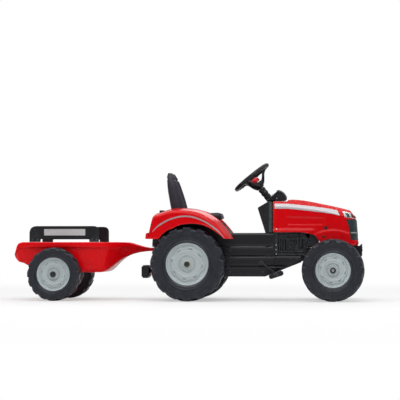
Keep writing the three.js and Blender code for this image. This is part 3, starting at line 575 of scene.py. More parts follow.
def make_hub(wheel, node, body, side):
    radius, half_width = wheel.hub * 0.992 - 0.6, wheel.half_width
    face = 0.84 * half_width
    bore = wheel.bore / radius
    scale = radius / 100
    turns = circle(280)
    # reach is the share of the hub's radius
    reach = np.r_[np.linspace(bore, 0.16, 6), np.linspace(0.17, 0.46, 22),
                  np.linspace(0.475, 0.96, 46), np.linspace(0.97, 1.0, 5)]
    reach, angle = np.meshgrid(reach, turns, indexing="ij")
    turned = angle - HUB_TURN
    wave = np.cos(HUB_LOBES * turned)
    edge = 0.790 + 0.040 * wave
    height = (2.4 * smoothstep(0.935, 0.962, reach) - 3.0 * fade(0.90, 0.94, reach)
              - 4.0 * fade(0.845, 0.885, reach)
              + 5.0 * fade(edge - 0.045, edge + 0.03, reach)      # lobed disc
              - 2.6 * fade(0.44, 0.60, reach) + 1.6 * bell(reach, 0.60 + 0.02 * wave, 0.05)
              - 4.0 * fade(0.385, 0.42, reach) + 7.6 * fade(0.305, 0.350, reach)
              - 1.8 * bell(reach, 0.255, 0.014) + 2.6 * fade(0.155, 0.185, reach))
    pitch = 2 * math.pi / HUB_LOBES
    phase = ((turned / pitch + 0.5) % 1.0 - 0.5) * pitch
    slot = np.maximum(np.abs((reach - 0.715) * radius) / (3.0 * scale + 0.6),
                      np.abs(phase * reach * radius) / (7.5 * scale + 1))
    height = height - 5.0 * fade(0.8, 1.15, slot)
    height[-1] -= 1.2
    front = face - 3.0 + height * (0.72 + 0.28 * scale)

    seat = (wheel.hub + 0.8) / radius
    # (share of radius, across) over the rim and down the inner side to the bore
    back = np.array([
        (1.0, face - 6.5), (seat, face - 7.5), (seat, -0.74 * half_width),
        (1.0, -0.76 * half_width), (0.995, -0.79 * half_width), (0.975, -0.80 * half_width),
        (0.945, -0.80 * half_width), (0.925, -0.78 * half_width), (0.915, face - 17),
        (0.88, face - 20), (0.5, face - 17), (0.26, face - 16), (0.235, face - 18),
        (0.215, -0.86 * half_width), (0.205, -0.89 * half_width), (bore, -0.89 * half_width)])
    radial = np.vstack([reach * radius, np.repeat(back[:, :1] * radius, len(turns), 1)])
    across = np.vstack([front, np.repeat(back[:, 1:], len(turns), 1)])
    Solid().skin(spun(wheel, side, radial, across, turns + 0 * radial), joined=True).make(
        node + "_moulded", HUB, body, "hub_grey", node, sharp=55)


def make_washer(wheel, node, body, side):
    bore, face = wheel.bore, 0.84 * wheel.half_width + 5.0
    profile = [(bore + 1.2, face - 4), (bore + 7.0, face - 4), (bore + 7.6, face - 0.4),
               (bore + 6.2, face + 0.9), (bore + 2.0, face + 0.9), (bore + 1.2, face + 0.2)]
    place = facing(wheel.x, side * wheel.y, wheel.radius, side)
    Solid().lathe(profile, 48, place).make(
        node + "_washer", BRASS if wheel is REAR else DARK, body, "steel", sharp=40)


for wheel in (REAR, FRONT, TRAILER):
    for side, word in SIDES:
        body = f"{wheel.name}_wheel_{word}"
        if wheel is REAR and word == "right":
            body = "rear_drive"
        make_tyre(wheel, f"{wheel.name}_tyre_{word}", body, side)
        make_hub(wheel, f"{wheel.name}_hub_{word}", body, side)
        make_washer(wheel, f"{wheel.name}_hub_{word}", body, side)


# ------------------------------------------------------------------ bonnet
# each table: x, then the value at that x
SHOULDER_Z = ([390, 456, 467, 514, 561, 608, 655, 702, 735, 745, 755, 764, 772, 781],
              [461.5, 460.5, 459.5, 454.5, 449, 442, 432.5, 420.5, 413.4, 411.2, 408.8, 405.8,
               402.2, 395.5])
CROWN_Z = ([390, 456, 458, 470, 512, 560, 607, 655, 702, 726, 745, 758, 768, 776, 781],
           [465, 465, 471, 473.6, 471.4, 464.2, 454.8, 445.0, 434.2, 428.2, 422.8, 417.6,
            411.6, 404.0, 396.0])
SIDE_HALF_WIDTH = ([390, 512, 607, 690, 735], [105, 104, 101, 96.6, 93])
ARCH_RADIUS = 144.2
LOWER_EDGE_Z = ([390, 510, 537, 561, 575, 585, 594, 601, 606],
                [319, 319, 316, 311, 307, 302, 292, 281,
                 FRONT.radius + math.sqrt(ARCH_RADIUS ** 2 - (FRONT.x - 606) ** 2)])
LAMP_BOTTOM_Z = ([700, 723, 745, 778, 781], [389, 387, 384.5, 380, 379.5])
OPENING_END, OPENING_HALF_WIDTH = 458, 54.0     # opening in the top, at the rear
NOSE_X, NOSE_LENGTH, NOSE_POWER = 735, 46, 2 / 2.9


def half_outline():
    """Bonnet from above: the left side from rear to front, then the nose to the middle."""
    x = np.r_[np.linspace(390, 458, 15), np.linspace(462, 560, 20), np.linspace(563, 614, 20),
              np.linspace(618, NOSE_X, 30)[:-1]]
    turn = np.linspace(0, math.pi / 2, 400)
    nose = np.stack([NOSE_X + NOSE_LENGTH * np.sin(turn) ** NOSE_POWER,
                     SIDE_HALF_WIDTH[1][-1] * np.cos(turn) ** NOSE_POWER], 1)
    return np.vstack([np.stack([x, pchip(x, *SIDE_HALF_WIDTH)], 1), resample(nose, 46)])


PLAN = half_outline()
PLAN_PLACE = arc_length(PLAN)
PLAN_END = PLAN_PLACE[-1]
PLAN_NORMAL = normals(PLAN)


def outline_at(along):
    """x, y and outward normal at an arc length; past the nose centre it returns on the right."""
    along = np.asarray(along, float)
    past = along > PLAN_END
    place = np.where(past, 2 * PLAN_END - along, along)
    x, y, out_x, out_y = (np.interp(place, PLAN_PLACE, column)
                          for column in (*PLAN.T, *PLAN_NORMAL.T))
    length = np.hypot(out_x, out_y)
    sign = np.where(past, -1.0, 1.0)
    return x, y * sign, out_x / length, out_y / length * sign


def other_side(along):
    return 2 * PLAN_END - along


def along_at(x):
    return float(np.interp(x, PLAN[:, 0], PLAN_PLACE))


def shoulder(x):
    return pchip(x, *SHOULDER_Z)


def wall_offset(x, z):
    """How far the wall stands out from the plan outline."""
    top = shoulder(x)
    out = -0.36 * np.maximum(0, z - (top - 23)) - 0.022 * np.maximum(0, z - 310)
    out = out - 1.6 * smoothstep(top - 4, top, z)
    # lip round the wheel arch
    from_axle = np.hypot(x - FRONT.x, z - FRONT.radius)
    out = out + 2.8 * fade(178, 194, from_axle) * smoothstep(560, 590, x) * fade(742, 760, x)
    # skirt behind the arch
    out = out + 3.8 * fade(322, 342, z) * fade(560, 612, x)
    out = out + smoothstep(742, 777, x) * (
        1.6 - 0.052 * np.maximum(0, z - 300) + 4.4 * fade(268, 292, z) - 4.0 * fade(257, 266, z))
    # shallow sunk panel
    slope = 0.03 * (x - 460)
    panel = (smoothstep(452, 462, x) * fade(612, 640, x) * smoothstep(350, 357, z)
             * fade(386 - slope, 393 - slope, z))
    return out - 1.7 * panel


def wall(along, z, offset=0.0):
    x, y, out_x, out_y = outline_at(along)
    out = wall_offset(x, z) + offset
    return np.stack([x + out_x * out, y + out_y * out, z + 0 * x], -1)


def bottom_edge(x):
    """Height of the bonnet's lower edge, with the arch over the front wheel."""
    arch = FRONT.radius + np.sqrt(np.maximum(0, ARCH_RADIUS ** 2 - (x - FRONT.x) ** 2))
    front = np.where(x < 759, np.maximum(arch, 257), 257)
    return np.where(x < 606, pchip(x, *LOWER_EDGE_Z), front)


def build_bonnet():
    x = PLAN[:, 0]
    low, high = bottom_edge(x), shoulder(x)
    side_rows = 44
    side = [wall(PLAN_PLACE, low + (high - low) * part) for part in np.linspace(0, 1, side_rows)]

    # deck from the shoulder to the middle: outer rows, then rows over the middle
    edge_x, edge_y = side[-1][:, 0], side[-1][:, 1]
    inner = np.minimum(OPENING_HALF_WIDTH, 0.60 * edge_y)
    crown = pchip(x, *CROWN_Z)
    rise_start, rise_end = np.minimum(62.0, 0.70 * edge_y), np.minimum(50.0, 0.57 * edge_y)
    outer_rows, middle_rows = 12, 16
    deck = []
    for row in range(1, outer_rows + middle_rows + 1):
        if row <= outer_rows:
            y = edge_y + (inner - edge_y) * (row / outer_rows)
        else:
            y = inner * (1 - (row - outer_rows) / middle_rows)
        rise = smoothstep(0, 1, (rise_start - y) / np.maximum(rise_start - rise_end, 1e-3))
        lift = (0.14 * (1 - y / np.maximum(edge_y, 1e-3)) + 0.76 * rise
                + 0.10 * (1 - (y / np.maximum(rise_end, 1e-3)) ** 2).clip(0))
        deck.append(np.stack([edge_x, y, high + (crown - high) * np.clip(lift, 0, 1)], 1))
    points = np.array(side + deck)

    rows, columns = points.shape[:2]
    index = np.arange(rows * columns).reshape(rows, columns)
    quads = np.stack([index[:-1, :-1], index[:-1, 1:], index[1:, 1:], index[1:, :-1]], -1)
    middle = (points[:-1, :-1] + points[1:, 1:]) / 2
    on_deck = (np.arange(rows - 1) >= side_rows - 1)[:, None]
    opening = (on_deck & (middle[..., 0] < OPENING_END)
               & (np.abs(middle[..., 1]) < OPENING_HALF_WIDTH - 1e-6))
    faces = quads[~opening].tolist()
    points = points.reshape(-1, 3)
    faces += [[i + len(points) for i in face[::-1]] for face in faces]

    def tidy(work):
        bmesh.ops.remove_doubles(work, verts=work.verts, dist=3e-5)
        loose = [vertex for vertex in work.verts if not vertex.link_faces]
        bmesh.ops.delete(work, geom=loose, context="VERTS")
        bmesh.ops.dissolve_degenerate(work, dist=1e-6, edges=work.edges)
        face_outward(work)
        # the shell is open, so its faces may all have turned inwards
        top = max(work.faces, key=lambda face: face.calc_center_median().z)
        if top.normal.z < 0:
            bmesh.ops.reverse_faces(work, faces=work.faces)

    both = np.vstack([points, points * [1, -1, 1]])
    shell = mesh_object("bonnet_shell", both, faces, RED, tidy)
    solidify = shell.modifiers.new("wall", "SOLIDIFY")
    solidify.thickness, solidify.offset = 2.6 * MM, -1.0
    solidify.use_even_offset = False
    solidify.use_quality_normals = True
    round_edges(shell, width=0.8, angle=50)
    shell.data.shade_smooth()
    declare(shell, "bonnet", "bonnet")


build_bonnet()


def strip(start, end, bottom, top):
    """Surface function for a strip of the wall.

    start and end are arc lengths, or functions of the share of height; bottom and top are
    heights, or functions of x.
    """
    def value(bound, place):
        return bound(place) if callable(bound) else bound

    def surface(across, up, offset):
        first = value(start, up)
        along = first + (value(end, up) - first) * across
        x = outline_at(along)[0]
        low = value(bottom, x)
        return wall(along, low + (value(top, x) - low) * up, offset)

    return surface


def build_silver_band():
    """Band under the shoulder, on both sides."""
    solid = Solid()
    for place in (lambda along: along, other_side):
        surface = strip(
            place(along_at(397)), lambda up: place(along_at(689) + (1 - up) * 10),
            lambda x: shoulder(x) - pchip(x, [390, 570, 700], [33.0, 31.5, 25.0]),
            lambda x: shoulder(x) - pchip(x, [390, 570, 700], [9.5, 8.5, 3.0]))
        solid.sheet(surface, 90, 8, -0.6, 0.7)
    solid.make("bonnet_silver_band", SILVER, "bonnet", "hub_grey", sharp=40)


build_silver_band()


def lamp_bottom(x):
    return pchip(x, *LAMP_BOTTOM_Z)


def build_lamp(word, place):
    """Headlight wrapped round one corner of the nose; place puts arc lengths on its side."""
    start, end = along_at(711), float(np.interp(-50, -PLAN[:, 1], PLAN_PLACE))
    bezel = strip(lambda up: place(start + (1 - up) * 12), place(end),
                  lamp_bottom, lambda x: shoulder(x) - 1.2)
    Solid().sheet(bezel, 60, 12, -2.0, 1.0).make(
        f"headlight_{word}_bezel", CHROME, "bonnet", "lens", f"headlight_{word}", sharp=40)

    # name, material, start, end, lean of the ends, gap under the shoulder, bulge
    cells = [("clear", CHROME, along_at(713), along_at(723), 9, 4.5, 1.8),
             ("dark", DARK_LAMP, along_at(725), along_at(740), 9, 7.0, 1.8),
             ("middle", CHROME, along_at(742), along_at(750), 3, 4.5, 1.8),
             ("amber", RED_LAMP, along_at(753), along_at(772), 3, 2.5, 4.6),
             ("front", RED_LAMP, along_at(774), end - 1.5, 3, 2.5, 4.6)]
    for name, material, first, last, lean, gap, bulge in cells:
        def surface(across, up, offset):
            along = place(first + (last - first) * across + (1 - up) * lean)
            x = outline_at(along)[0]
            low = lamp_bottom(x) + 3
            if offset > 0:
                offset = offset + (bulge * np.clip(1 - (2 * across - 1) ** 4, 0, 1)
                                   * np.clip(1 - (2 * up - 1) ** 4, 0, 1))
            return wall(along, low + (shoulder(x) - gap - low) * up, offset)

        Solid().sheet(surface, 18, 14, -0.5, 1.3).make(
            f"headlight_{word}_{name}", material, "bonnet", "lens", sharp=45)


# the lamp named right lies on the +Y side and the one named left on the -Y side
build_lamp("right", lambda along: along)
build_lamp("left", other_side)


GRILLE_LOW, GRILLE_HIGH = 283.0, 378.0
SLAT_PITCH = 8.6


def build_grille():
    """Slats, surround and cross bars wrapped round the nose, with one bright trim line."""
    def surface(across, up, offset):
        z = GRILLE_LOW + (GRILLE_HIGH - GRILLE_LOW) * up
        edge_x = np.interp(z, [283, 321, 349, 378], [749, 745, 740, 728])
        start = np.interp(edge_x, PLAN[:, 0], PLAN_PLACE)
        along = start + (2 * PLAN_END - 2 * start) * across
        if offset > 0:
            from_side = np.minimum(along - start, 2 * PLAN_END - start - along)
            from_end = np.minimum(z - GRILLE_LOW, GRILLE_HIGH - z)
            surround = fade(4.0, 5.4, np.minimum(from_side, from_end + 0.5))
            slats = 0.5 + 0.5 * np.cos((z - GRILLE_LOW) * 2 * math.pi / SLAT_PITCH)
            post = fade(5.0, 6.5, np.abs(along - PLAN_END))
            beam = fade(5.0, 6.5, np.abs(z - 316))
            offset = 0.3 + 1.5 * np.maximum.reduce(
                [surround, 0.72 * smoothstep(0.45, 0.75, slats), 0.95 * post, beam])
        return wall(along, z, offset)

    Solid().sheet(surface, 180, 130, -1.5, 1.0).make(
        "grille_slats", TEAL, "bonnet", "black", "grille", sharp=60)
    start = along_at(750)
    Solid().sheet(strip(start, other_side(start), 314.4, 318.0), 120, 4, 0.8, 2.6).make(
        "grille_bright_trim", SILVER, "bonnet", "hub_grey", sharp=40)


build_grille()


def build_bonnet_plugs():
    """A round plug, a small oblong one and a rivet on each side."""
    for side, word in SIDES:
        solid = Solid().studs([(0.5, 0.2), (4.4, 0.4), (4.96, 1.6), (7.36, 2.2), (8.0, 0.88),
                               (8.0, -3), (0.5, -3)],
                              32, side, 100.0 + float(wall_offset(634, 339)), [(634, 339)])
        x, z = 624, 298
        y = 101.0 + float(wall_offset(x, z)) - 1.2
        solid.prism(rectangle(x - 8, x + 8, z - 3.5, z + 3.5, 3.4), *span(side, y - 2, y + 1.4))
        solid.make(f"bonnet_plug_{word}", BLACK, "bonnet", "black", bevel=0.5)
        Solid().studs([(0.2, 1.6), (1.6, 1.4), (2.8, 0.6), (3.0, -2), (0.2, -2)],
                      20, side, 105.0 + float(wall_offset(406, 333)) - 0.3, [(406, 333)]).make(
            f"bonnet_rivet_{word}", WHITE, "bonnet", "nylon", sharp=40)


build_bonnet_plugs()


# ------------------------------------------------------------------ mudguards
# crest x, crest z, arch edge x, arch edge z, fall of the top towards the outer side
MUDGUARD = [
    (209, 288, 170, 288, 27), (187, 321, 151, 305.5, 28), (163, 351, 132, 320, 28),
    (140, 376, 114, 331.5, 27), (117, 393, 94, 341.5, 26), (93, 407, 74, 349.5, 24),
    (58, 421, 46, 356, 21), (23, 428, 20, 357, 18), (-24, 431.5, -16, 354, 16),
    (-60, 430.5, -44, 346.6, 15), (-94, 424, -67, 335, 14), (-127, 413, -90, 326, 13),
    (-154, 403.5, -104, 316, 12), (-163, 393, -111, 311, 9), (-171, 365, -114, 308, 7),
    (-181, 322, -121, 300, 6), (-188, 291, -128, 291, 6)]
MUDGUARD_WALL = 3.2
MUDGUARD_SIDE = 238.4
# (x, z) along the band on the outer side
MUDGUARD_BAND = [(-159, 319), (-141, 340), (-118, 356), (-90, 372), (-58, 383), (-26, 390),
                 (11, 390), (48, 381), (80, 367), (108, 350), (133, 332), (154, 312), (173, 290)]


def mudguard_section(crest, arch, fall):
    """Closed C-shaped section on the right side, between the crest and the arch edge."""
    down = arch - crest
    length = np.linalg.norm(down)
    fall = min(fall, 0.62 * length)
    thick = MUDGUARD_WALL

    def top(y):
        return 0.60 * fall * max(0.0, (y - 138) / 74.0) ** 1.5

    def corner(inset, count):
        start = np.array([top(212) + inset, 212.4 - inset * 0.5])
        knee = np.array([0.80 * fall + inset * 0.6, MUDGUARD_SIDE - inset])
        end = np.array([min(fall + 13, length - 9), MUDGUARD_SIDE - inset])
        return [tuple((1 - part) ** 2 * start + 2 * part * (1 - part) * knee + part * part * end)
                for part in np.linspace(0, 1, count)]

    # (distance down, distance from the middle plane): outer skin, then back along the inner
    section = [(min(length, 58.0), 125.6), (8, 125.6), (3, 126.6), (0.8, 129.5), (0.0, 134)]
    section += [(top(y), y) for y in np.linspace(142, 209, 10)] + corner(0.0, 14)
    section += [(depth, MUDGUARD_SIDE + 1.2 * smoothstep(length - 7, length - 2, depth))
                for depth in np.linspace(min(fall + 14.5, length - 7.5), length - 1.2, 12)]
    section += [(length, 239.0), (length, 236.2)]
    section += [(depth, MUDGUARD_SIDE - thick)
                for depth in np.linspace(length - 2.2, min(fall + 15, length - 7), 8)]
    section += corner(thick, 12)[::-1]
    section += [(top(y) + thick, y) for y in np.linspace(206, 142, 8)]
    section += [(thick + 1.5, 131), (9, 128.8), (min(length, 58.0), 128.8)]
    depth, out = np.array(section).T
    down = down / length
    return np.stack([crest[0] + down[0] * depth, -out, crest[1] + down[1] * depth], 1)


def build_mudguards():
    table = np.array(stations(MUDGUARD, 130)[1]).T
    guard = Solid().skin([mudguard_section(row[:2], row[2:4], row[4]) for row in table])
    # foot at the lower rear corner
    guard.prism(rounded([(-192, 287), (-131, 287), (-131, 292), (-178, 298), (-181.5, 316),
                         (-190.5, 311)], 1.5), -238.6, -126)

    line = curve(MUDGUARD_BAND, 120)
    outward = normals(line)

    def surface(across, up, offset):
        i = (across * (len(line) - 1)).astype(int)
        half = 3.4 * np.minimum(1, 0.25 + 6 * np.minimum(across, 1 - across))
        point = line[i] + outward[i] * ((up - 0.5) * 2 * half)[..., None]
        return np.stack([point[..., 0], -(MUDGUARD_SIDE + offset) + 0 * across, point[..., 1]], -1)

    band = Solid().sheet(surface, 120, 4, -1.5, 0.8)
    for side, word in SIDES:
        guard.make(f"mudguard_{word}_moulded", RED, "chassis", "red", f"mudguard_{word}",
                   sharp=44, mirrored=side > 0)
        band.make(f"mudguard_{word}_silver_band", STRIPE, "chassis", "hub_grey", sharp=40,
                  mirrored=side > 0)


build_mudguards()


# ------------------------------------------------------------------ moulded body halves
BODY_SIDE, BODY_WALL, BODY_RADIUS = 98, 3.0, 11.0
GROOVES = (161, 207, 254)      # heights of the grooves along the side


def body_ring(x, top, bottom):
    """Closed section of the right half: outer skin from the middle, then the inner one."""
    height = top - bottom
    radius = min(BODY_RADIUS, 0.42 * height)
    middle = radius - BODY_SIDE
    turns = np.linspace(0.0, math.pi / 2, 7)
    z = np.linspace(top - radius - 1, bottom + radius + 1, 46)
    depth = np.zeros_like(z)
    for groove in GROOVES:
        depth += 4.6 * bell(z, groove, 2.8) - 2.2 * bell(z, groove - 7.0, 3.4)
    depth *= smoothstep(-150, -120, x)
    depth += 0.8 * ((z - (top + bottom) / 2) / (height / 2)) ** 2

    ring = [(-0.3, top), (-40, top), (middle + 8, top)]
    ring += [(middle - radius * math.sin(turn), top - radius + radius * math.cos(turn))
             for turn in turns]
    ring += list(zip(-98.6 + depth, z))
    ring += [(middle - radius * math.cos(turn), bottom + radius - radius * math.sin(turn))
             for turn in turns]
    ring += [(middle + 8, bottom), (-40, bottom), (-0.3, bottom)]
    inner, thick = -BODY_SIDE + BODY_WALL + 1.6, BODY_WALL
    ring += [(-0.3, bottom + thick), (-60, bottom + thick), (middle, bottom + thick),
             (inner, bottom + radius), (inner, top - radius), (middle, top - thick),
             (-60, top - thick), (-0.3, top - thick)]
    return np.insert(np.array(ring), 0, x, axis=1)


def build_body():
    stops = np.r_[np.linspace(-140, 160, 26), np.linspace(164, 196, 8),
                  np.linspace(200, 392, 40), [394, 396], np.linspace(400, 518, 28)]
    top = np.interp(stops, [-140, 158, 192, 394, 396, 518], [350, 350, 315.8, 315.8, 210, 210])
    bottom = np.interp(stops, [-140, 352, 518], [112, 112, 178])
    shell = Solid().skin([body_ring(*stop) for stop in zip(stops, top, bottom)])
    # end walls
    shell.box(-140, -137, -93, -0.3, 116, 346)
    shell.box(515, 518, -94, -16, 181, 207)
    screws = [(500, 196), (470, 196), (190, 134), (340, 134), (190, 232), (190, 184)]
    for side, word in SIDES:
        shell.make(f"chassis_shell_{word}_moulded", BLACK, "chassis", "black",
                   f"chassis_shell_{word}", sharp=40, mirrored=side > 0)
        Solid().studs([(0.4, 0.6), (2.2, 0.8), (3.3, 0.2), (3.5, -1.0), (0.4, -1.0)],
                      18, side, 98.8, screws).make(
            f"chassis_screws_{word}", DARK, "chassis", "dark_steel", sharp=40)


build_body()


# ------------------------------------------------------------------ engine relief
RIVET_X = 403.5


def engine_side(solid, side):
    """Details on one side of the engine; y values are distances from the middle plane."""
    def upright(x, y, low, high, radius, segments, dome=0.0):
        solid.rod((x, side * y, low), (x, side * y, high), radius, segments, dome=dome)

    def stub(x, z, near, far, radius, segments):
        solid.rod((x, side * near, z), (x, side * far, z), radius, segments)

    def hose(points, count, radius, segments=12):
        path = curve([(x, side * y, z) for x, y, z in points], count)
        solid.sweep(path, radius, segments)

    # strip that carries the rivets, next to the body half
    solid.prism(rectangle(393.5, 411, 211, 323.5, [2.5, 2.5, 1, 1]), *span(side, 78, 92.5))
    # barrels, one with cooling fins
    upright(418, 80, 226, 286, radius=6.5, segments=28)
    upright(440.5, 82, 236, 283, radius=7.5, segments=32)
    for z in np.linspace(240, 279, 8):
        upright(440.5, 82, z - 1.1, z + 1.1, radius=8.8, segments=28)
    upright(440.5, 82, 228, 236, radius=5.0, segments=24)
    # round-bottomed canister with two bands
    upright(518.5, 82, 292, 245, radius=9.5, segments=36, dome=7.0)
    for z in (256, 283):
        upright(518.5, 82, z, z + 3, radius=10.6, segments=32)
    # belt pulleys and belt
    for x, z, rim in ((464, 256, 14), (488, 276, 9), (536, 236, 8)):
        solid.lathe([(2, 13), (rim * 0.35, 13.5), (rim * 0.45, 10), (rim * 0.78, 10),
                     (rim * 0.82, 14), (rim, 14), (rim - 2, 11), (rim, 8), (rim, 0), (2, 0)],
                    40, facing(x, side * 76, z, side))
    belt = curve([(x, side * 87.5, z) for x, z in (
        (450, 256), (456, 270), (482, 286), (496, 281), (497, 268), (480, 248), (468, 242),
        (454, 245))], 60, closed=True)
    solid.sweep(np.vstack([belt, belt[:1]]), 1.7, 8)
    # a pair of pipes, then three hoses
    for shift in (0, 9.5):
        hose([(462 + shift, 80, 262), (469 + shift, 88, 251), (476 + shift, 89.5, 236),
              (484 + shift, 88, 222), (486 + shift, 80, 218)], 36, radius=3.0)
    hose([(404, 82, 305), (430, 88, 306), (452, 89, 301), (470, 88, 309), (500, 88, 307),
          (536, 87, 300), (556, 84, 286)], 50, radius=3.2)
    hose([(533, 82, 226), (541, 87, 244), (539, 88, 262), (547, 87, 280)], 30, radius=3.4)
    hose([(412, 86, 230), (430, 90, 229), (462, 90, 227), (540, 87, 229)], 30, radius=2.2,
         segments=10)
    # square boxes and a ribbed plate
    solid.prism(rectangle(496, 530, 226, 240, 3), *span(side, 76, 86))
    solid.prism(rectangle(450, 500, 292, 300, 3), *span(side, 76, 86))
    solid.prism(rectangle(550, 592, 254, 276, 4), *span(side, 78, 88))
    for x in np.linspace(556, 586, 6):
        solid.prism(rectangle(x - 1.4, x + 1.4, 256, 274), *span(side, 86, 90))
    stub(574, 292, 80, 88, radius=7.5, segments=28)
    # six-sided bolts
    for x, z in ((500, 229), (526, 229), (526, 237), (500, 237)):
        stub(x, z, 84, 87.5, radius=1.7, segments=6)
    for x in np.linspace(420, 538, 7):
        stub(x, 219, 86, 90, radius=2.4, segments=6)


def build_engine():
    solid = Solid()
    solid.box(398, 544, -78, 78, 211, 294)
    solid.box(399, 514, -82, 82, 290, 324)
    solid.prism([(506, 290), (560, 290), (560, 317), (506, 322)], -82, 82)
    solid.prism([(542, 248), (601, 248), (601, 287), (592, 302), (576, 314), (542, 318)], -82, 82)
    # flanges: bottom, top, half width, front end
    for low, high, half, end in ((211, 216, 91.5, 538), (216, 222.5, 88, 541),
                                 (286, 296, 86, 545)):
        solid.box(397, end, -half, half, low, high)
    solid.box(406, 482, -46, 46, 300, 316)
    for side, _ in SIDES:
        engine_side(solid, side)
    solid.make("engine_relief", ENGINE, "chassis", "black", "engine_block", bevel=0.7,
               bevel_angle=38)
    for side, word in SIDES:
        Solid().studs([(0.3, 1.6), (1.4, 1.4), (2.3, 0.5), (2.5, -1.5), (0.3, -1.5)],
                      18, side, 92.5, [(RIVET_X, z) for z in (217, 238, 259)]).make(
            f"engine_rivets_{word}", WHITE, "chassis", "nylon", sharp=40)


build_engine()


# ------------------------------------------------------------------ dash panel and binnacle
def build_dash():
    solid = Solid()
    cheek = rounded([(354, 314.2), (386, 314.2), (386, 460), (368, 463), (317, 433)],
                    [2, 3, 5, 6, 8])
    for side, _ in SIDES:
        solid.prism(cheek, *span(side, 90, 95))
    # slanted knee face, two top bars and the front wall; the panel between them is hollow
    solid.prism([(317.5, 432), (321, 430), (358, 319), (354, 317.3)], -92, 92)
    for side, _ in SIDES:
        solid.prism([(318.5, 434), (321, 429.5), (369, 458), (368, 462.5)],
                    *span(side, 17.5, 92))
    solid.box(383, 386, -92, 92, 317, 458)
    # pressed ribs across the knee face
    top = np.array([317.5, 432])
    down = np.array([354, 317.3]) - top
    down /= np.linalg.norm(down)
    out = np.array([down[1], -down[0]])
    for distance in (26, 50, 74, 98):
        rib = top + down * distance
        solid.prism([rib - down * 3, rib + down * 3, rib + down * 2 + out * 2.0,
                     rib - down * 2 + out * 2.0], -70, 70)
    solid.make("dash_panel_moulded", BLACK, "chassis", "black", "dash_panel", bevel=1.6,
               segments=3, bevel_angle=28)

    solid = Solid()
    for low, high in ((-98.5, -93), (93, 98.5)):
        solid.prism(rounded([(370, 319), (386.5, 319), (386.5, 459), (370, 463)], 2.5), low, high)
        for bottom, top in ((325, 366), (370, 411), (415, 453)):
            solid.prism(rectangle(374, 382.5, bottom, top, 2.0), low - 1.2, high + 1.2)
    solid.make("dash_upright", UPRIGHT, "chassis", "black", bevel=1.0)


build_dash()


GAUGE_RADIUS = 14.0


def build_binnacle():
    outline = curve([(357, 468), (400, 466.5), (440, 467), (449, 474), (449.5, 486), (442, 500),
                     (428, 510.5), (414, 516), (407, 514), (386, 494), (364, 475)],
                    90, closed=True)
    middle = np.array([405, 487.0])
    rings = []
    # the outline draws in towards each side for a soft, blown look
    for y in np.r_[np.linspace(-47.5, -40, 6), np.linspace(-36, 36, 9), np.linspace(40, 47.5, 6)]:
        draw = (1 - (max(0, abs(y) - 34) / 14.2) ** 2.4) ** (1 / 2.4)
        ring = middle + (outline - middle) * (0.80 + 0.20 * draw)
        rings.append(np.insert(ring, 1, y, axis=1))
    Solid().skin(rings).make("dash_binnacle_moulded", GLOSS, "chassis", "gloss_black",
                             "dash_binnacle", bevel=2.2, segments=3, bevel_angle=50, sharp=60)


def build_gauge(number, y, needle_degrees, marks_material):
    """Rim, dial, ticks and needle, square to the column and facing the rider."""
    place = tilted(382.5, 0, 492.5, RAKE)
    place[:, 3] = place @ [2, y, -1, 1]
    rim = GAUGE_RADIUS
    Solid().lathe([(rim - 3, 0.6), (rim - 3, 2.4), (rim - 1, 3.4), (rim, 2.8), (rim, -3),
                   (rim - 3, -3)], 40, place).make(
        f"gauge_rim_{number}", CHROME, "chassis", "steel", sharp=45)
    Solid().lathe([(0.2, 1.0), (rim - 2.8, 1.0), (rim - 2.8, -2), (0.2, -2)], 40, place).make(
        f"gauge_dial_{number}", DIAL, "chassis", "nylon", sharp=45)

    def turned(points, degrees):
        cos, sin = math.cos(math.radians(degrees)), math.sin(math.radians(degrees))
        return [(along * cos - across * sin, along * sin + across * cos)
                for along, across in points]

    marks = Solid()
    tick = [(rim - 5.6, 0.45), (rim - 5.6, -0.45), (rim - 3.4, -0.45), (rim - 3.4, 0.45)]
    for degrees in np.linspace(-130, 130, 9):
        marks.prism(turned(tick, degrees), 0.9, 1.5, "z", place)
    needle = [(-2, 0), (0, 0.9), (rim - 5, 0), (0, -0.9)]
    marks.prism(turned(needle, needle_degrees), 0.9, 1.8, "z", place)
    marks.make(f"gauge_marks_{number}", marks_material, "chassis", "black", sharp=45)


def build_binnacle_highlight_and_rivets():
    """Pale strip round the front of the binnacle, a painted highlight on its glossy edge, with a
    rivet on each side below it.
    """
    line = curve([(402, 514.6), (414, 517.2), (428, 511.8), (441, 501.5), (449.2, 487),
                  (449.6, 475)], 40)
    share = np.linspace(0, 1, 40)
    width = 3.2 * np.minimum(1, 0.15 + 5 * np.minimum(share, share[::-1]))[:, None]
    offset = normals(line) * width
    ring = np.vstack([line + offset * 0.35, (line - offset)[::-1]])
    middle = ring.mean(0)
    rings = []
    for y in np.r_[-43.0, -41.5, np.linspace(-36, 36, 7), 41.5, 43.0]:
        scale = 0.97 if abs(y) > 42 else 1.0
        rings.append(np.insert(middle + (ring - middle) * scale, 1, y, axis=1))
    # the pale strip is a painted highlight on the binnacle's edge
    Solid().skin(rings).make("binnacle_highlight_strip", BINNACLE_HIGHLIGHT_GREY, "chassis", "gloss_black", sharp=50)
    for side, word in SIDES:
        Solid().studs([(0.3, 1.8), (2.0, 1.6), (3.4, 0.5), (3.6, -2), (0.3, -2)],
                      24, side, 46.0, [(405, 478)]).make(
            f"binnacle_rivet_{word}", WHITE, "chassis", "nylon", sharp=45)


build_binnacle()
build_gauge(1, -24, needle_degrees=-60, marks_material=BLACK)
build_gauge(2, 24, needle_degrees=38, marks_material=HORN)
build_binnacle_highlight_and_rivets()


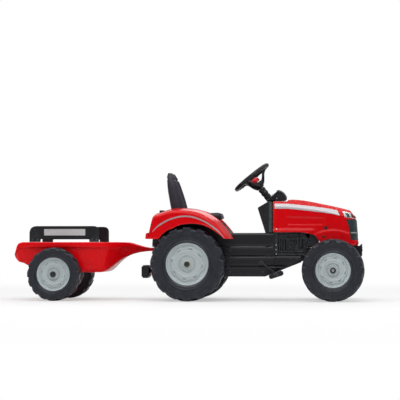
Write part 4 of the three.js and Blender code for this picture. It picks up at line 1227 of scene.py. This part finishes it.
# ------------------------------------------------------------------ seat
# from the front of the pan to the top of the backrest:
# sitting face x, z; underside or back x, z; half width
SEAT_STATIONS = [
    (149, 391, 147, 385, 80), (143, 400, 138, 380, 92), (120, 404, 110, 379, 100),
    (70, 400, 60, 379, 105), (20, 397, -20, 380, 108), (-12, 401, -68, 386, 109),
    (-32, 420, -91, 420, 109), (-38, 446, -97, 446, 107), (-48, 482, -103.5, 482, 103),
    (-59, 515, -109, 515, 99), (-70, 547, -112, 547, 94), (-80, 576, -114, 578, 84),
    (-93, 598, -109, 599, 66)]
SEAT_GROOVES = (128, 152, 232, 258, 284)    # distances along the sitting face


def build_seat():
    place, columns = stations(SEAT_STATIONS, 120)
    table = np.stack(columns, 1)
    length = arc_length(table[:, :2])
    turns = circle(88)
    side_share = signed_power(np.cos(turns), 0.62)
    depth_share = signed_power(np.sin(turns), 0.52)
    out = np.abs(side_share)
    front = np.clip(depth_share, 0, 1) ** 0.7
    rear = np.clip(-depth_share, 0, 1) ** 0.7
    rings = []
    for station, along, row in zip(place, length, table):
        face, back, half_width = row[:2], row[2:4], row[4]
        middle, half = (face + back) / 2, (face - back) / 2
        outward = half / (np.linalg.norm(half) + 1e-9)
        upper = smoothstep(4.6, 6.5, station)     # 0 on the pan, 1 on the backrest
        bolster = (11 * (1 - upper) * smoothstep(0.3, 1.6, station)
                   + 12.5 * upper * (1 - 0.35 * smoothstep(9.6, 11.6, station)))
        bolster = bolster * (smoothstep(0.56, 0.80, out) - 0.55 * smoothstep(0.86, 1.0, out))
        dish = -5.0 * (1 - upper) * fade(0, 0.66, out) * smoothstep(0.4, 2, station)
        grooves = sum(-3.2 * bell(along, groove, 2.6) for groove in SEAT_GROOVES)
        grooves = grooves * fade(0.50, 0.58, out)
        cut = -5.5 * bell(station, 10.72, 0.13)
        seam = -2.0 * bell(out, 0.55, 0.05) if upper > 0.5 else 0
        shift = front * (bolster + dish + grooves + cut) - rear * (cut * 0.5 + seam)
        points = middle + half * depth_share[:, None] + outward * shift[:, None]
        rings.append(np.stack([points[:, 0], half_width * side_share, points[:, 1]], 1))
    solid = Solid().skin(rings)
    # rail guides under the pan
    for side, _ in SIDES:
        for near, far in ((48, 53.7), (66.3, 72)):
            solid.box(-80, 130, *span(side, near, far), 365.2, 383)
    solid.make("seat_moulded", SEAT, "seat", "black", "seat_shell", sharp=50)


build_seat()

# ------------------------------------------------------------------ steering wheel and column
STEERING = tilted(285, 0, 580, RAKE)      # middle of the rim; local Z runs up the column
RIM_RADIUS, GRIP_RADIUS = 91, 10.0


def build_rim(solid):
    """Round rim with finger grips on its underside."""
    turn, around = np.meshgrid(circle(192), circle(20), indexing="ij")
    bumps = np.clip(np.cos(24 * turn), -0.2, 1) * np.clip(-np.sin(around), 0, 1)
    grip = GRIP_RADIUS * (1 + 0.10 * bumps)
    radius = RIM_RADIUS + grip * np.cos(around)
    rings = np.stack([radius * np.cos(turn), radius * np.sin(turn), grip * 0.96 * np.sin(around)],
                     -1)
    solid.skin(rings, joined=True, matrix=STEERING)


def build_spoke(solid, angle):
    """Spoke that dips from the rim to the boss, slightly hollow on top."""
    cos, sin = math.cos(angle), math.sin(angle)
    path = curve([(86, 0), (72, -5), (57, -15), (42, -33), (28, -47), (12, -53)], 26)
    around = np.linspace(0, 2 * math.pi, 20, endpoint=False)
    rings = []
    for share, (reach, z) in zip(np.arange(26) / 25, path):
        half_width = 11.5 + 7.5 * share ** 1.5 + 4 * (1 - share) ** 6
        half_height = 9.0 + 3.0 * share
        across = half_width * signed_power(np.cos(around), 0.7)
        height = half_height * signed_power(np.sin(around), 0.7)
        hollow = 2.2 * (1 - (across / half_width) ** 2)
        height = np.where(height > 0, height - hollow, height)
        rings.append(np.stack([reach * cos - across * sin, reach * sin + across * cos,
                               z + height], 1))
    solid.skin(rings, matrix=STEERING)


def build_steering_wheel():
    solid = Solid()
    build_rim(solid)
    for degrees in (0, 120, 240):
        build_spoke(solid, math.radians(degrees))
    solid.lathe([(7.2, -52), (23.5, -47), (25, -40), (25.5, -38.5), (27, -39), (27.5, -42),
                 (26, -56), (20, -66), (14, -69), (7.2, -69)], 56, STEERING)
    solid.make("steering_wheel_moulded", BLACK, "steering", "black", "steering_wheel", sharp=42)

    horn = Solid()
    horn.lathe([(0.2, -11.5), (8, -11.8), (15, -13.5), (19.5, -16.5), (21.5, -20), (22, -25),
                (22, -33.5), (18, -34), (6, -34), (6, -45), (0.2, -45)], 56, STEERING)
    horn.lathe([(12.5, -11.0), (13.5, -11.2), (13.8, -13.8), (12.2, -13.8)], 56, STEERING)
    horn.make("horn_button_moulded", HORN, "horn", "red", "horn_button", sharp=50)


build_steering_wheel()


def build_column():
    solid = Solid()
    solid.lathe([(8.2, -70.5), (15.5, -70.5), (17, -72), (17, -84), (15.6, -86), (15.6, -90),
                 (17, -92), (17, -103), (15, -106), (14.2, -109), (14.2, -167.5),
                 (8.2, -167.5)], 48, STEERING)
    for drop in (75, 79, 95, 99):
        solid.lathe([(16.6, -drop), (17.9, -drop - 0.6), (17.9, -drop - 1.6),
                     (16.6, -drop - 2.2)], 48, STEERING)
    # ribs along the lower part
    rib = np.array([(14.0, -1.6), (16.4, -1.1), (16.4, 1.1), (14.0, 1.6)])
    for angle in circle(6):
        cos, sin = math.cos(angle), math.sin(angle)
        turn = np.array([[cos, -sin], [sin, cos]])
        solid.prism(rib @ turn.T, -160, -110, "z", STEERING)
    solid.make("steering_column_moulded", BLACK, "chassis", "black", "steering_column", sharp=40)


build_column()


# ------------------------------------------------------------------ pedals
PEDAL_Y = 153


def build_pedal(side, node):
    x_middle, _, z_middle = centre(node)
    place = tilted(x_middle, side * PEDAL_Y, z_middle, math.radians(18))
    solid = Solid()
    cheek = rounded([(-33, -9), (-24, -12.4), (24, -12.4), (33, -9), (33, 6), (-33, 6)],
                    [4, 5, 5, 4, 3, 3], 5)
    for end in (-1, 1):
        solid.prism(cheek, *span(end, 29, 36.5), matrix=place)
    core = rounded([(-31, -7.5), (-22, -10), (22, -10), (31, -7.5), (31, 7.5), (22, 10),
                    (-22, 10), (-31, 7.5)], 2.5, 4)
    solid.prism(core, -36, 36, matrix=place)
    # tread bars above and below, the upper ones tapered
    for x in np.linspace(-24, 24, 7):
        for low, high, half in ((9.4, 12.8, 1.5), (-12.8, -9.4, 2.1)):
            bar = [(x - 2.1, low), (x + 2.1, low), (x + half, high), (x - half, high)]
            solid.prism(rounded(bar, 0.6, 3), -34, 34, matrix=place)
    for x in (-31.6, 31.6):
        for y in np.linspace(-26, 26, 5):
            solid.box(x - 1.6, x + 1.6, y - 4, y + 4, -6, 6, place)
    solid.make(f"{node}_moulded", BLACK, node, "black", node, bevel=0.5, bevel_angle=40)
    Solid().studs([(5.6, 37), (9, 37), (10, 36), (10, 30), (5.6, 30)],
                  28, side, PEDAL_Y, [(x_middle, z_middle)]).make(
        f"{node}_collar", DARK, node, "dark_steel", sharp=40)


for side, word in SIDES:
    build_pedal(side, f"pedal_{word}")


# ------------------------------------------------------------------ trailer
# x, top half width, bottom half width, top z, bottom z, how far the rim band stands out
TUB = np.array([
    (-829, 117, 108, 216, 202, 1), (-825, 122, 113, 229, 194, 2.5),
    (-820, 127, 118, 241, 188, 4.5), (-815, 131.5, 122, 254, 183, 6.5),
    (-806, 137.5, 128, 265, 178.5, 8.5), (-788, 145, 132, 272, 174.5, 10),
    (-776, 147.5, 134, 273, 168.5, 10), (-765, 148, 135.5, 273, 163, 10),
    (-740, 148, 137.5, 273, 154.5, 10), (-700, 148, 139, 273, 141, 10),
    (-655, 148, 140, 273, 132, 10), (-560, 148, 140, 273, 131, 10),
    (-470, 148, 139, 273, 131, 10), (-418, 147, 136, 273, 131.5, 10),
    (-400, 143.5, 128, 273, 136, 10), (-386, 138, 116, 273, 144, 9.8),
    (-365, 124, 92, 273, 161, 9.2), (-340, 103, 66, 273, 183, 8),
    (-318, 82, 48, 272.5, 199.5, 6.6), (-300, 66, 38, 271, 209, 5.4),
    (-278, 49, 29, 266, 217.5, 4), (-255, 36, 22, 259.5, 223.5, 3),
    (-232, 26, 17.5, 253, 227.3, 2.2), (-208, 19.5, 14.5, 248, 230, 1.2),
    (-186, 15, 12.5, 245.5, 231, 0.6)])
HOLLOW_REAR, HOLLOW_FRONT = -806.0, -322.0


def tub_ring(x, top_half, bottom_half, top, bottom, lip):
    """Closed section: outside from the keel up to the rim, inside down to the floor."""
    height = top - bottom
    band = min(29.0, 0.34 * height)
    radius = min(22.0, 0.40 * height, 0.5 * bottom_half)
    half = [(bottom_half * share, bottom) for share in (0.0, 0.35, 0.7)]
    half += [(bottom_half - radius + radius * math.sin(turn),
              bottom + radius - radius * math.cos(turn))
             for turn in np.linspace(0, 1, 9) * math.pi / 2]
    rise = top - band - bottom - radius
    for share in np.linspace(0.08, 1, 12):
        climb = rise * share
        half.append((bottom_half + (top_half - bottom_half) * climb / max(rise, 1e-6),
                     bottom + radius + climb))
    # roll out to the rim band, up, and over the rim
    rim = top_half + lip
    half += [(top_half + lip * 0.25, top - band + 1.2), (top_half + lip * 0.8, top - band + 2.6),
             (rim, top - band + 5), (rim + 0.3, top - band * 0.5), (rim, top - 4.0),
             (rim - 1.2, top - 1.2), (rim - 4, top)]

    # the floor follows the underside, and the hollow shuts towards both ends
    open_share = (smoothstep(HOLLOW_REAR - 14, HOLLOW_REAR + 12, x)
                  * fade(HOLLOW_FRONT - 60, HOLLOW_FRONT, x))
    floor = min(top - (height - 5.0) * open_share, top - 0.6)
    wall_half = max(top_half - 4.5, 3.0)
    floor_half = min(wall_half, max(bottom_half - 4.0, 3.0))
    depth = top - floor
    radius = min(18.0, 0.4 * depth, 0.5 * floor_half)
    half += [(wall_half + (1.5 if open_share > 0.2 else 0), top),
             (wall_half, top - min(1.6, 0.3 * depth))]
    half += [(wall_half + (floor_half - wall_half) * share, top - (depth - radius) * share)
             for share in np.linspace(0.1, 1, 10)]
    half += [(floor_half - radius + radius * math.cos(turn),
              floor + radius - radius * math.sin(turn))
             for turn in np.linspace(0.15, 1, 7) * math.pi / 2]
    half += [((floor_half - radius) * share, floor) for share in (0.66, 0.33, 0.0)]
    half = np.array(half)
    return np.insert(np.vstack([half, half[1:-1][::-1] * [-1, 1]]), 0, x, axis=1)


def build_tub():
    stops = np.r_[np.linspace(-829, -803, 16), np.linspace(-799, -660, 30),
                  np.linspace(-652, -425, 30), np.linspace(-420, -300, 40),
                  np.linspace(-296, -186, 26)]
    columns = [pchip(stops, TUB[:, 0], column) for column in TUB.T[1:]]
    solid = Solid().skin([tub_ring(*stop) for stop in zip(stops, *columns)])
    # drawbar eye and its strap
    eye = np.eye(4)
    eye[0, 3] = -170
    solid.lathe([(6.2, 230.2), (12.5, 230.2), (14, 231.4), (14, 247.6), (12.5, 249), (6.2, 249)],
                40, eye)
    solid.prism(rounded([(-192, -13), (-178, -11), (-178, 11), (-192, 13)], 2), 231, 246, "z")
    # axle saddles under the floor
    saddle = rounded([(-646, 134), (-638, 112), (-632, 108), (-618, 108), (-612, 112),
                      (-604, 134)], [1, 3, 6, 6, 3, 1])
    for y in (-112, 112):
        solid.prism(saddle, y - 4, y + 4)
    # shallow ribs in the floor
    rib = rounded([(-640, 135.5), (-430, 135.5), (-434, 139.4), (-636, 139.4)], 1)
    for y in (-84, -42, 0, 42, 84):
        solid.prism(rib, y - 5, y + 5)
    solid.make("trailer_tub_moulded", RED_TUB, "trailer", "red", "trailer_tub", sharp=38)


build_tub()


def build_boards():
    """Side boards, each with a raised rim round a plain label."""
    board = Solid().prism(
        rounded([(-751, 273.6), (-699, 273.6), (-699, 287), (-467, 287), (-467, 273.6),
                 (-422, 273.6), (-422, 348), (-751, 348)],
                [0.5, 0.5, 9, 9, 0.5, 0.5, 27, 36], 10), -153.6, -146.4)
    outer = rectangle(-684, -483, 301, 337, 4)
    inner = rectangle(-681, -486, 304, 334, 3)
    count = len(outer)
    vertices = [(x, y, z) for y in (-154.6, -152.5) for line in (outer, inner) for x, z in line]
    faces = []
    for i in range(count):
        j = (i + 1) % count
        faces += [[i, j, count + j, count + i],
                  [2 * count + i, 3 * count + i, 3 * count + j, 2 * count + j],
                  [i, 2 * count + i, 2 * count + j, j],
                  [count + i, count + j, 3 * count + j, 3 * count + i]]
    rim = Solid().add(vertices, faces)
    label = Solid().prism(inner, -154.1, -152.6)
    for side, word in SIDES:
        name, mirrored = f"side_board_{word}", side > 0
        board.make(f"{name}_moulded", BLACK, "trailer", "black", name, bevel=1.8, segments=3,
                   mirrored=mirrored)
        rim.make(f"{name}_rim", BLACK, "trailer", "black", bevel=0.4, mirrored=mirrored)
        label.make(f"{name}_label", LABEL, "trailer", "hub_grey", mirrored=mirrored)
        Solid().studs([(0.3, 1.4), (2.2, 1.2), (3.8, 0.3), (4.0, -1.0), (0.3, -1.0)],
                      24, side, 153.6, [(x, 284) for x in (-737, -711, -455, -433)]).make(
            f"{name}_screws", DARK, "trailer", "dark_steel", sharp=45)


build_boards()

# ------------------------------------------------------------------ CAD nodes that stay
# material, edge radius, nodes
KEPT = [
    (DARK, 1.2, "main_frame front_axle_beam"),
    (DARK, 0.8, "rear_axle pedal_crank trailer_axle"),
    (DARK, 0.6, "rear_axle_nut_right rear_axle_nut_left front_axle_nut_right "
                "front_axle_nut_left"),
    (DARK, 0.5, "hitch_pin"),
    (NYLON, 0.5, "rear_axle_bush_right rear_axle_bush_left crank_bush_right crank_bush_left"),
    (BLACK, 2.0, "front_bolster"), (BLACK, 1.6, "seat_base"), (BLACK, 1.8, "tow_hitch"),
    (BLACK, 4.0, "rear_weight"), (CHAIN, 0.6, "drive_chain"),
    (STEEL, 0.6, "steering_shaft steering_knuckle_right steering_knuckle_left tie_rod"),
    (STEEL, 0.3, "rear_sprocket crank_sprocket")]


def keep(node, material, edge):
    """Give a CAD node a new finish and rounded edges."""
    item = NODES[node]
    item.data.materials.clear()
    item.data.materials.append(material)
    item.modifiers.new("weld", "WELD").merge_threshold = 2e-5
    round_edges(item, edge, angle=35)
    weight_normals(item)
    item.data.shade_smooth()


for material, edge, nodes in KEPT:
    for node in nodes.split():
        keep(node, material, edge)


# ------------------------------------------------------------------ hinge, brackets, weight
def build_hinge_pin():
    end = [(0.3, 58), (2.2, 58), (3.0, 57.2), (3.0, 54.6), (2.3, 54.2), (2.3, 52.8), (3.0, 52.4)]
    half = end + [(3.0, 31), (2.85, 30.4)]
    profile = half + [(radius, -along) for radius, along in half[::-1]]
    Solid().lathe(profile, 40, facing(HINGE_X, 0, HINGE_Z, 1)).make(
        "bonnet_hinge_pin_turned", STEEL, "chassis", "steel", "bonnet_hinge_pin", sharp=40)


def build_front_cheeks():
    """Cheeks between the body halves and the front bolster."""
    solid = Solid()
    for side, _ in SIDES:
        solid.prism(rectangle(516, 529, 184, 211, 2), *span(side, 17, 73))
        solid.prism(rectangle(543, 577, 208, 246.5, 4), *span(side, 47, 72))
    solid.make("front_cheeks", BLACK, "chassis", "black", bevel=1.2)


def build_nose_bracket():
    """Bracket that carries the front weight."""
    outline = rounded([(748, 214), (788.5, 208), (788.5, 252.4), (784.5, 249.2), (780.5, 246.8),
                       (775, 245.6), (770, 244.8), (766, 246.0), (748, 246.0)],
                      [4, 2, 1, 1, 1, 1, 1, 2, 4], 4)
    solid = Solid().prism(outline, -58.5, 58.5)
    rib = rounded([(756, 206), (784, 204), (784, 216), (756, 216)], 3)
    for y in (-52, -20, 20, 52):
        solid.prism(rib, y - 3, y + 3)
    solid.make("nose_bracket", BLACK, "chassis", "black", bevel=1.4)


def build_lower_cheeks():
    """Lower cheeks of the bonnet, turning with it round the hinge pin."""
    radius = 23.7
    arc = [(HINGE_X + radius * math.cos(turn), HINGE_Z + radius * math.sin(turn))
           for turn in np.radians(np.linspace(-24, -100, 20))]
    outline = ([(764, 268), (774, 266), (778, 257.4), (786, 256.4)] + arc
               + [(757.5, 246), (757.5, 262)])
    for side, word in SIDES:
        solid = Solid().prism(outline, *span(side, 60.8, 66.4))
        solid.rod((HINGE_X, side * 65, HINGE_Z), (HINGE_X, side * 68.6, HINGE_Z), 5.2, 6)
        solid.make(f"bonnet_lower_cheek_{word}", BLACK, "bonnet", "black", bevel=1.2)


def build_front_weight():
    """Three blocks side by side on a core, with round bosses in front."""
    solid = Solid()
    block = rounded([(788.3, 212), (792, 205), (798, 205), (802.5, 211), (802.5, 265.0),
                     (799.5, 262.8), (795.5, 258.6), (791.5, 256.4), (788.3, 252.4)],
                    [2, 3, 3, 3, 2.6, 1, 1, 1, 1], 5)
    for low, high in ((-67.6, -35), (-33, 33), (35, 67.6)):
        solid.prism(block, low, high)
    core = rounded([(789.5, 214), (793, 207), (797, 207), (801, 213), (801, 260), (796, 256.5),
                    (789.5, 251)], 1.5, 4)
    solid.prism(core, -66, 66)
    for y in (-51, 51):
        solid.rod((801, y, 235), (804.6, y, 235), 6.0, 28, end_radius=5.2)
    solid.rod((801, 0, 247), (804.8, 0, 247), 7.5, 32, end_radius=6.6)
    solid.make("front_weight_moulded", BLACK, "chassis", "black", "front_weight", bevel=1.6,
               segments=3, bevel_angle=40)


def build_hitch_cheeks():
    """Cheeks on either side of the hitch pin."""
    plate = rounded([(-187, 257), (-141, 251), (-141, 312), (-163, 300), (-184, 293)],
                    [7, 3, 5, 8, 9])
    pad = rounded([(-180, 264), (-152, 260), (-152, 296), (-176, 288)], 5)
    for side, word in SIDES:
        solid = Solid().prism(plate, *span(side, 21, 28.5))
        solid.prism(pad, *span(side, 27, 30.5))
        solid.make(f"tow_hitch_cheek_{word}", BLACK, "chassis", "black", bevel=1.4)


build_hinge_pin()
build_front_cheeks()
build_nose_bracket()
build_lower_cheeks()
build_front_weight()
build_hitch_cheeks()


# ------------------------------------------------------------------ floor, light and camera
def make_floor():
    """White floor that fades, for the camera only, into plain white further out."""
    half, z = 12000, -0.6
    corners = [(-half, -half, z), (half, -half, z), (half, half * 1.6, z), (-half, half * 1.6, z)]
    floor = mesh_object("floor", corners, [(0, 1, 2, 3)], None, tidy=None)
    material, tree, shader = new_material("floor_white")
    shader.inputs["Base Color"].default_value = (0.80, 0.80, 0.80, 1)
    shader.inputs["Roughness"].default_value = 0.55
    shader.inputs["Specular IOR Level"].default_value = 0.2
    coords = add_node(tree, "TexCoord", {})
    distance = add_node(tree, "VectorMath", {0: coords.outputs["Object"]}, operation="LENGTH")
    whiten = add_node(tree, "MapRange", {
        "Value": distance.outputs["Value"], "From Min": 0.9, "From Max": 3.6,
        "To Min": 0.44, "To Max": 1.0}, interpolation_type="SMOOTHSTEP")
    ray = add_node(tree, "LightPath", {})
    factor = multiply(tree, whiten.outputs[0], ray.outputs["Is Camera Ray"])
    plain = add_node(tree, "Emission", {})
    mixed = add_node(tree, "MixShader",
                     {0: factor, 1: shader.outputs[0], 2: plain.outputs[0]})
    tree.links.new(mixed.outputs[0], tree.nodes["Material Output"].inputs["Surface"])
    floor.data.materials.append(material)


make_floor()

# name, place, target, (width, height), watts
LIGHTS = [
    ("key_softbox", (0.1, -1.3, 3.4), (0, 0.0, 0.2), (4.2, 2.6), 36),
    ("strip", (0.0, -1.75, 2.75), (0, 0.0, 0.35), (3.8, 0.14), 14),
    ("top_strip", (0.0, -0.25, 3.3), (0, 0.0, 0.3), (3.8, 0.12), 16),
    ("front_fill", (0.8, -4.6, 3.3), (0, 0, 0.25), (4.0, 1.6), 46),
    ("left_fill", (-3.8, -1.2, 2.3), (0, 0, 0.3), (1.8, 2.2), 16),
    ("right_fill", (3.8, 0.8, 2.3), (0, 0, 0.3), (1.8, 2.2), 16),
    ("back_fill", (-0.4, 4.4, 3.0), (0, 0, 0.3), (4.0, 1.6), 36)]


def place_object(name, data, location, direction):
    """Object that looks along a direction."""
    item = bpy.data.objects.new(name, data)
    bpy.context.scene.collection.objects.link(item)
    item.location = location
    item.rotation_mode = "QUATERNION"
    item.rotation_quaternion = direction.to_track_quat("-Z", "Y")
    return item


for name, location, target, size, watts in LIGHTS:
    light = bpy.data.lights.new(name, "AREA")
    light.shape, light.energy = "RECTANGLE", watts
    light.size, light.size_y = size
    place_object(name, light, location, Vector(target) - Vector(location))


def make_world():
    """Grey to pale sky for the light, plain white for the camera."""
    world = bpy.data.worlds.new("studio")
    bpy.context.scene.world = world
    world.use_nodes = True
    tree = world.node_tree
    coords = add_node(tree, "TexCoord", {})
    height = add_node(tree, "SeparateXYZ", {0: coords.outputs["Generated"]})
    sky = ramp(tree, height.outputs["Z"], 0.0, 0.85,
               low=(0.055, 0.055, 0.060), high=(0.85, 0.85, 0.86))
    ray = add_node(tree, "LightPath", {})
    background = tree.nodes["Background"]
    tree.links.new(mix(tree, ray.outputs["Is Camera Ray"], sky, 1.0), background.inputs["Color"])
    background.inputs["Strength"].default_value = 1.0


make_world()


def make_camera():
    """Long lens on the right side of the tractor, looking slightly up."""
    data = bpy.data.cameras.new("camera")
    data.sensor_width = 36.0
    data.lens = 128.55
    data.clip_start, data.clip_end = 0.05, 60
    yaw, pitch = math.radians(-5.283), math.radians(1.852)
    direction = Vector((math.sin(yaw) * math.cos(pitch), math.cos(yaw) * math.cos(pitch),
                        math.sin(pitch)))
    scene = bpy.context.scene
    scene.camera = place_object("camera", data, (0.6633, -6.7558, 0.2537), direction)
    scene.view_settings.view_transform = "Standard"
    scene.view_settings.look = "None"
    scene.view_settings.exposure = 0.0


make_camera()
